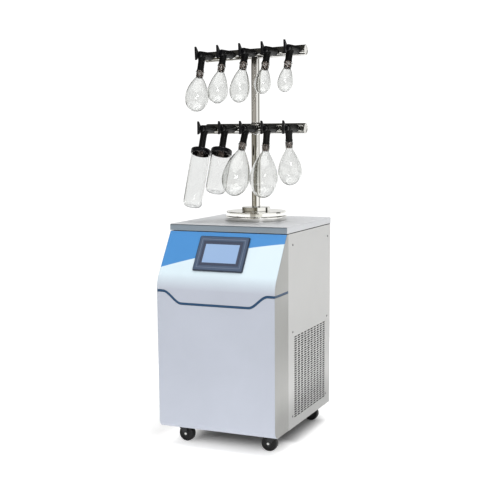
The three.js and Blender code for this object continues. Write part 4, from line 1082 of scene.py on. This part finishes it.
# height, lean, distance between ports
bars = {"upper": (deck_z + 0.642, lean, 0.091), "lower": (deck_z + 0.356, 0.0, 0.088)}
cap = [
    (0.0, bar_half - 0.0016), (0.0145, bar_half - 0.0016, 0.0008), (0.0155, bar_half, 0.0006),
    (bar_r, bar_half, 0.0014)
]
for level_name, (height, tilt, pitch) in bars.items():
    half = eased(cap + [(bar_r, 0.0)], 0.0006, 4, closed=False)
    outline = half + [(r, -z) for r, z in half[::-1]]
    set_level = shift((0, trap_y, height)) @ spin(-tilt, "Y")
    shapes = [turned(outline, 96, spin(pi / 2, "Y"))]
    neck = eased([
        (0.0070, 0.010), (0.0120, 0.018, 0.001), (0.0105, 0.0205, 0.001), (0.0095, 0.0225, 0.001),
        (0.0095, 0.046), (0.0070, 0.046)
    ], 0.0006, 3)
    for k in (-2, -1, 0, 1, 2):
        shapes.append(turned(neck, 48, shift((k * pitch, 0, 0)) @ spin(pi / 2, "X")))
    if level_name == "lower":
        weld = eased([
            (0.0168, 0.0), (0.0168, 0.024), (0.0186, 0.0205, 0.001), (0.0215, 0.0175), (0.0215, 0.0)
        ], 0.0006, 3)
        shapes += [turned(weld, 64), turned(weld, 64, spin(pi, "X"))]
    piece(
        level_name + "_manifold_bar", shapes, "manifold", [polished_steel], "polished_steel",
        [level_name + "_bar"], place=set_level
    )
print("bars at", {k: round(v[0], 3) for k, v in bars.items()})

# %% [markdown]
# ## Valves
# A valve is a moulded rubber tee: a barrel pushed onto the nipple and a spout that leans out to hold the glass. The
# part of the spout inside the neck is a softer brown rubber. A plastic plug turns in the barrel and carries a boss
# with a two-armed wing. The spout leans differently at every port, as the CAD joints say, so each valve is built
# about its own origin and aimed along its own spout.

# %% List what hangs on each port
Hung = namedtuple("Hung", "lean lip neck belly base radius")
# the spout's lean to the front in degrees, distances down the spout to lip, neck, belly and base, the radius
millimetres = {
    "flask_upper_1": (21.5, 68, 93, 172, 229, 45.5), "flask_upper_2": (25, 51, 80, 160, 205, 39),
    "flask_upper_3": (25.5, 48, 76, 157, 208, 38), "flask_upper_4": (26, 56, 82, 141, 178, 31.5),
    "flask_upper_5": (26, 58, 84, 141, 177, 28.5), "flask_lower_3": (28, 66, 94, 208, 279, 52.5),
    "flask_lower_4": (11, 63, 91, 192, 265, 53.5), "flask_lower_5": (-4.5, 50, 81, 162, 215, 45),
    "jar_lower_1": (22, 86, 0, 0, 316, 36.5), "jar_lower_2": (22, 86, 0, 0, 258, 38.5),
}
hung = {
    name: Hung(radians(degrees), *[mm / 1000 for mm in sizes])
    for name, (degrees, *sizes) in millimetres.items()
}
valve_origin = {
    joint["name"][10:]: Vector(joint["pos_m"])
    for joint in frame["joints"] if joint["name"].startswith("knob_turn_")
}

def aimed(vessel):
    """The port's name, the valve's place on its bar, and the lean of its spout."""
    port = vessel.split("_", 1)[1]
    tilt = lean if port.startswith("upper") else 0.0
    at_port = shift(valve_origin[port]) @ spin(-tilt, "Y")
    return port, at_port, spin(-hung[vessel].lean, "X")

print("ports", sorted(valve_origin))

# %% [markdown]
# The barrel and the spout meet in a soft moulded shoulder. Two overlapping turned forms show a crease there, so a
# collar with a wide ease is turned onto the root of the spout and buries the crease, the way the mould's own fillet
# does.

# %% Build the valve bodies
plug_length = 0.024
barrel = eased([
    (0.0101, -0.022), (0.0142, -0.022, 0.001), (0.0150, -0.0195, 0.0015), (0.0150, 0.0600, 0.001),
    (0.0158, 0.0610, 0.0008), (0.0158, 0.0690, 0.0008), (0.0148, 0.0710, 0.001), (0.0101, 0.0710)
], 0.0006, 4)
for vessel, sizes in hung.items():
    port, at_port, spout_lean = aimed(vessel)
    lip, tip = sizes.lip, sizes.lip + plug_length
    spout = eased([(0.0070, -0.004), (0.0130, -0.004), (0.0130, -lip), (0.0070, -lip)], 0.0, 2)
    root = eased([
        (0.0128, -0.0100), (0.0162, -0.0100, 0.004), (0.0134, -0.0215, 0.005), (0.0130, -0.0260),
        (0.0128, -0.0260)
    ], 0.0003, 5)
    ring = eased(
        raised_by(-lip, [(0.0128, 0.0085), (0.0141, 0.0080, 0.001), (0.0141, 0.0025, 0.001), (0.0128, 0.0020)]),
        0.0004, 3
    )
    soft = eased([(0.0070, -lip), (0.0130, -lip), (0.0115, -tip, 0.001), (0.0070, -tip)], 0.0003, 3)
    shapes = [
        turned(barrel, 64, to_y), *[turned(part, 64, spout_lean) for part in (spout, root, ring)],
        turned(soft, 64, spout_lean, mark=1)
    ]
    piece(
        "valve_" + port, shapes, "manifold", [rubber, stopper_rubber], "rubber", ["valve_body_" + port],
        place=at_port
    )
print("valves", len(hung))

# %% [markdown]
# The knob's wing is a flat plate that fans out from the boss to a straight front edge. Its outline is drawn once and
# given eased edges by a bevel modifier, which follows every edge of the plate.

# %% Build the knobs
wing = [
    (-0.0583, 0.029), (-0.0583, -0.021), (-0.0553, -0.021), (-0.0363, -0.0083), (-0.0363, 0.0083),
    (-0.0553, 0.029)
]
boss = eased([
    (0.0, -0.0393), (0.0118, -0.0393, 0.0015), (0.0125, -0.0370, 0.0008), (0.0125, -0.0245, 0.0008),
    (0.0116, -0.0223, 0.0008), (0.0090, -0.0223), (0.0090, 0.0057, 0.0008), (0.0, 0.0057)
], 0.0005, 4)
for vessel in hung:
    port, at_port, _ = aimed(vessel)
    plate = bridged([[(x, y, z) for y, z in wing] for x in (-0.004, 0.004)])
    piece(
        "knob_" + port, [turned(boss, 48, to_y), plate], "knob_" + port, [black_plastic], "black_plastic",
        ["valve_knob_" + port], place=at_port, bevel=0.0011
    )
print("knobs", len(hung))

# %% [markdown]
# ## Glassware
# A freeze-drying flask is blown, not moulded: the neck runs into the shoulder in one curve and the base is nearly
# elliptical. The wall is real, 2 mm thick, with an inner face and an outer face, because the shader needs both to
# bend light as a hollow vessel does and not as a solid drop.

# %% Blow the flasks
def flask_wall(neck, belly, base, radius, inset, plug):
    neck_r, belly_r = 0.0139 - inset, radius - inset
    shares = [k / 26 for k in range(1, 27)]
    shoulder = [(neck_r + (belly_r - neck_r) * (1 - (1 - t) ** 1.8), -neck - (belly - neck) * t) for t in shares]
    bowl = [
        (belly_r * cos(a), -belly - (base - inset - belly) * sin(a))
        for a in [k / 18 * pi / 2 for k in range(1, 18)]
    ]
    throat = eased([(neck_r, -plug), (neck_r, -neck, 0.012), *shoulder[2:4]], 0.0, 6, closed=False)[1:-2]
    return [(neck_r, -plug), *throat, *shoulder[2:], *bowl, (0.0, inset - base)]

glass_wall = 0.002

def blown(vessel):
    _, lip, neck, belly, base, radius = hung[vessel]
    plug = lip + plug_length
    bead = eased([
        (0.0134, -lip), (0.0168, -lip, 0.0014), (0.0168, -lip - 0.0028, 0.0014), (0.0154, -lip - 0.0042, 0.001)
    ], 0.0004, 4, closed=False)
    outside = flask_wall(neck, belly, base, radius, 0.0, plug)
    inside = flask_wall(neck, belly, base, radius, glass_wall, plug)
    return turned(bead + outside + inside[::-1], 96)

for vessel in hung:
    if vessel.startswith("flask"):
        port, at_port, spout_lean = aimed(vessel)
        piece(
            vessel.replace("flask", "glass_flask"), [blown(vessel)], vessel, [flask_glass], "clear_glass",
            [vessel], place=at_port @ spout_lean, sharp=60
        )
print("flasks", sum(v.startswith("flask") for v in hung))

# %% [markdown]
# Two ports hold wide straight jars instead. Their black lids are turned with a raised rim, a bright-edged step and a
# band of fine ribs for the hand; the ribs are drawn by moving every other point of the band inwards.

# %% Turn the jars and their lids
def ribbed(outline, low, high, sides=144, depth=0.0005):
    points, faces, mark = turned(outline, sides)
    outer = max(hypot(p.x, p.y) for p in points)
    for i, p in enumerate(points):
        if low < p.z < high and hypot(p.x, p.y) > outer - 0.0004 and i % 4 < 2:
            p.x, p.y = p.x * (1 - depth / outer), p.y * (1 - depth / outer)
    return points, faces, mark

for vessel, (_, top, _, _, base, radius) in hung.items():
    if not vessel.startswith("jar"):
        continue
    port, at_port, spout_lean = aimed(vessel)
    rim, shoulder = radius - 0.002, top + 0.0183
    wall = [
        (rim - 0.002, -top - 0.0043), (rim, -top - 0.0043), (rim, -shoulder, 0.001),
        (radius, -shoulder - 0.002, 0.001), (radius, -base + 0.016), (radius - 0.0018, -base + 0.0062, 0.004),
        (radius - 0.0075, -base + 0.0012, 0.005), (radius - 0.018, -base), (0, -base)
    ]
    hollow = [
        (0, -base + 0.002), (radius - 0.018, -base + 0.002), (radius - 0.0088, -base + 0.0032, 0.005),
        (radius - 0.0038, -base + 0.0078, 0.004), (radius - 0.002, -base + 0.017),
        (radius - 0.002, -shoulder - 0.002, 0.001), (rim - 0.002, -shoulder, 0.001)
    ]
    piece(
        "glass_" + vessel, [turned(eased(wall + hollow, 0.0004, 5), 96)], vessel, [jar_glass], "clear_glass",
        [vessel], place=at_port @ spout_lean, sharp=60
    )
    outer, hole_r = radius + 0.0024, 0.0134
    lid = raised_by(-top, [
        (hole_r, 0, 0.0004), (hole_r + 0.0040, 0, 0.0008), (hole_r + 0.0050, -0.0012, 0.0008),
        (outer - 0.0085, -0.0012, 0.0008), (outer - 0.0070, 0, 0.0012), (outer - 0.0016, 0, 0.0014),
        (outer, -0.0020, 0.0012), (outer, -0.0050), (outer, -0.0140), (outer, -0.0168, 0.0008),
        (outer - 0.0010, -0.018, 0.0006), (outer - 0.004, -0.018), (outer - 0.004, -0.004), (hole_r, -0.004)
    ])
    piece(
        "lid_" + port, [ribbed(eased(lid, 0.0003, 4), -top - 0.0145, -top - 0.0045)], vessel, [lid_plastic],
        "black_plastic", ["jar_lid_" + port], place=at_port @ spout_lean
    )
print("jars", sum(v.startswith("jar") for v in hung))

# %% [markdown]
# ## Working parts inside and behind
# The compressor, the condenser, the fan, the base pan, the rear panel and the mains inlet already have the right
# shape in the CAD model, so they stay and only gain a finish and eased edges. The condenser keeps its edges; its block
# is drawn as fins by a fine stripe along its depth, since its real fins are thinner than a millimetre. The stripe's
# dark bands are painted shade between the fins.

# %% Finish the parts that stay
fin_color, fin_pitch = (0.50, 0.51, 0.52), 0.003
fins, tree, shader = finish("condenser_fins", fin_color, 0.40, 0.9)
axes = axes_of(tree, spot(tree))
ridge = calc(tree, "SINE", calc(tree, "MULTIPLY", axes[1], 2 * pi / fin_pitch))
dust = noise(tree, spot(tree), 40.0, 5.0)
# the stripe darkens the colour between the fins: painted shade
tone = calc(tree, "MULTIPLY_ADD", ridge, 0.22, calc(tree, "MULTIPLY_ADD", dust, 0.3, 0.6))
fed(tree, shader, Base_Color=toned(tree, fin_color, tone))
fed(tree, shader, Roughness=use(tree, smudged, Place=spot(tree), Least=0.35, Most=0.6)["Film"])
raised(tree, shader, ridge, 0.5, 0.001)
kept = {
    "black_steel": (black_steel, ["compressor", "base_pan"]),
    "panel_paint": (panel_paint, ["rear_panel"]),
    "black_plastic": (black_plastic, ["condenser_fan", "power_inlet", "power_switch"]),
    "aluminium": (fins, ["condenser"]),
}
for slot, (look, names) in kept.items():
    for node in [frame["nodes"][name] for name in names]:
        node.data.materials.clear()
        node.data.materials.append(look)
        if look is not fins:
            ease_edges(node, 0.0007, 2, 50)
shown = sorted(name for name, node in frame["nodes"].items() if not node.hide_render)
print("CAD nodes that stay:", shown)

# %% [markdown]
# ## Finish

# %% Finish
bpy.context.view_layer.update()
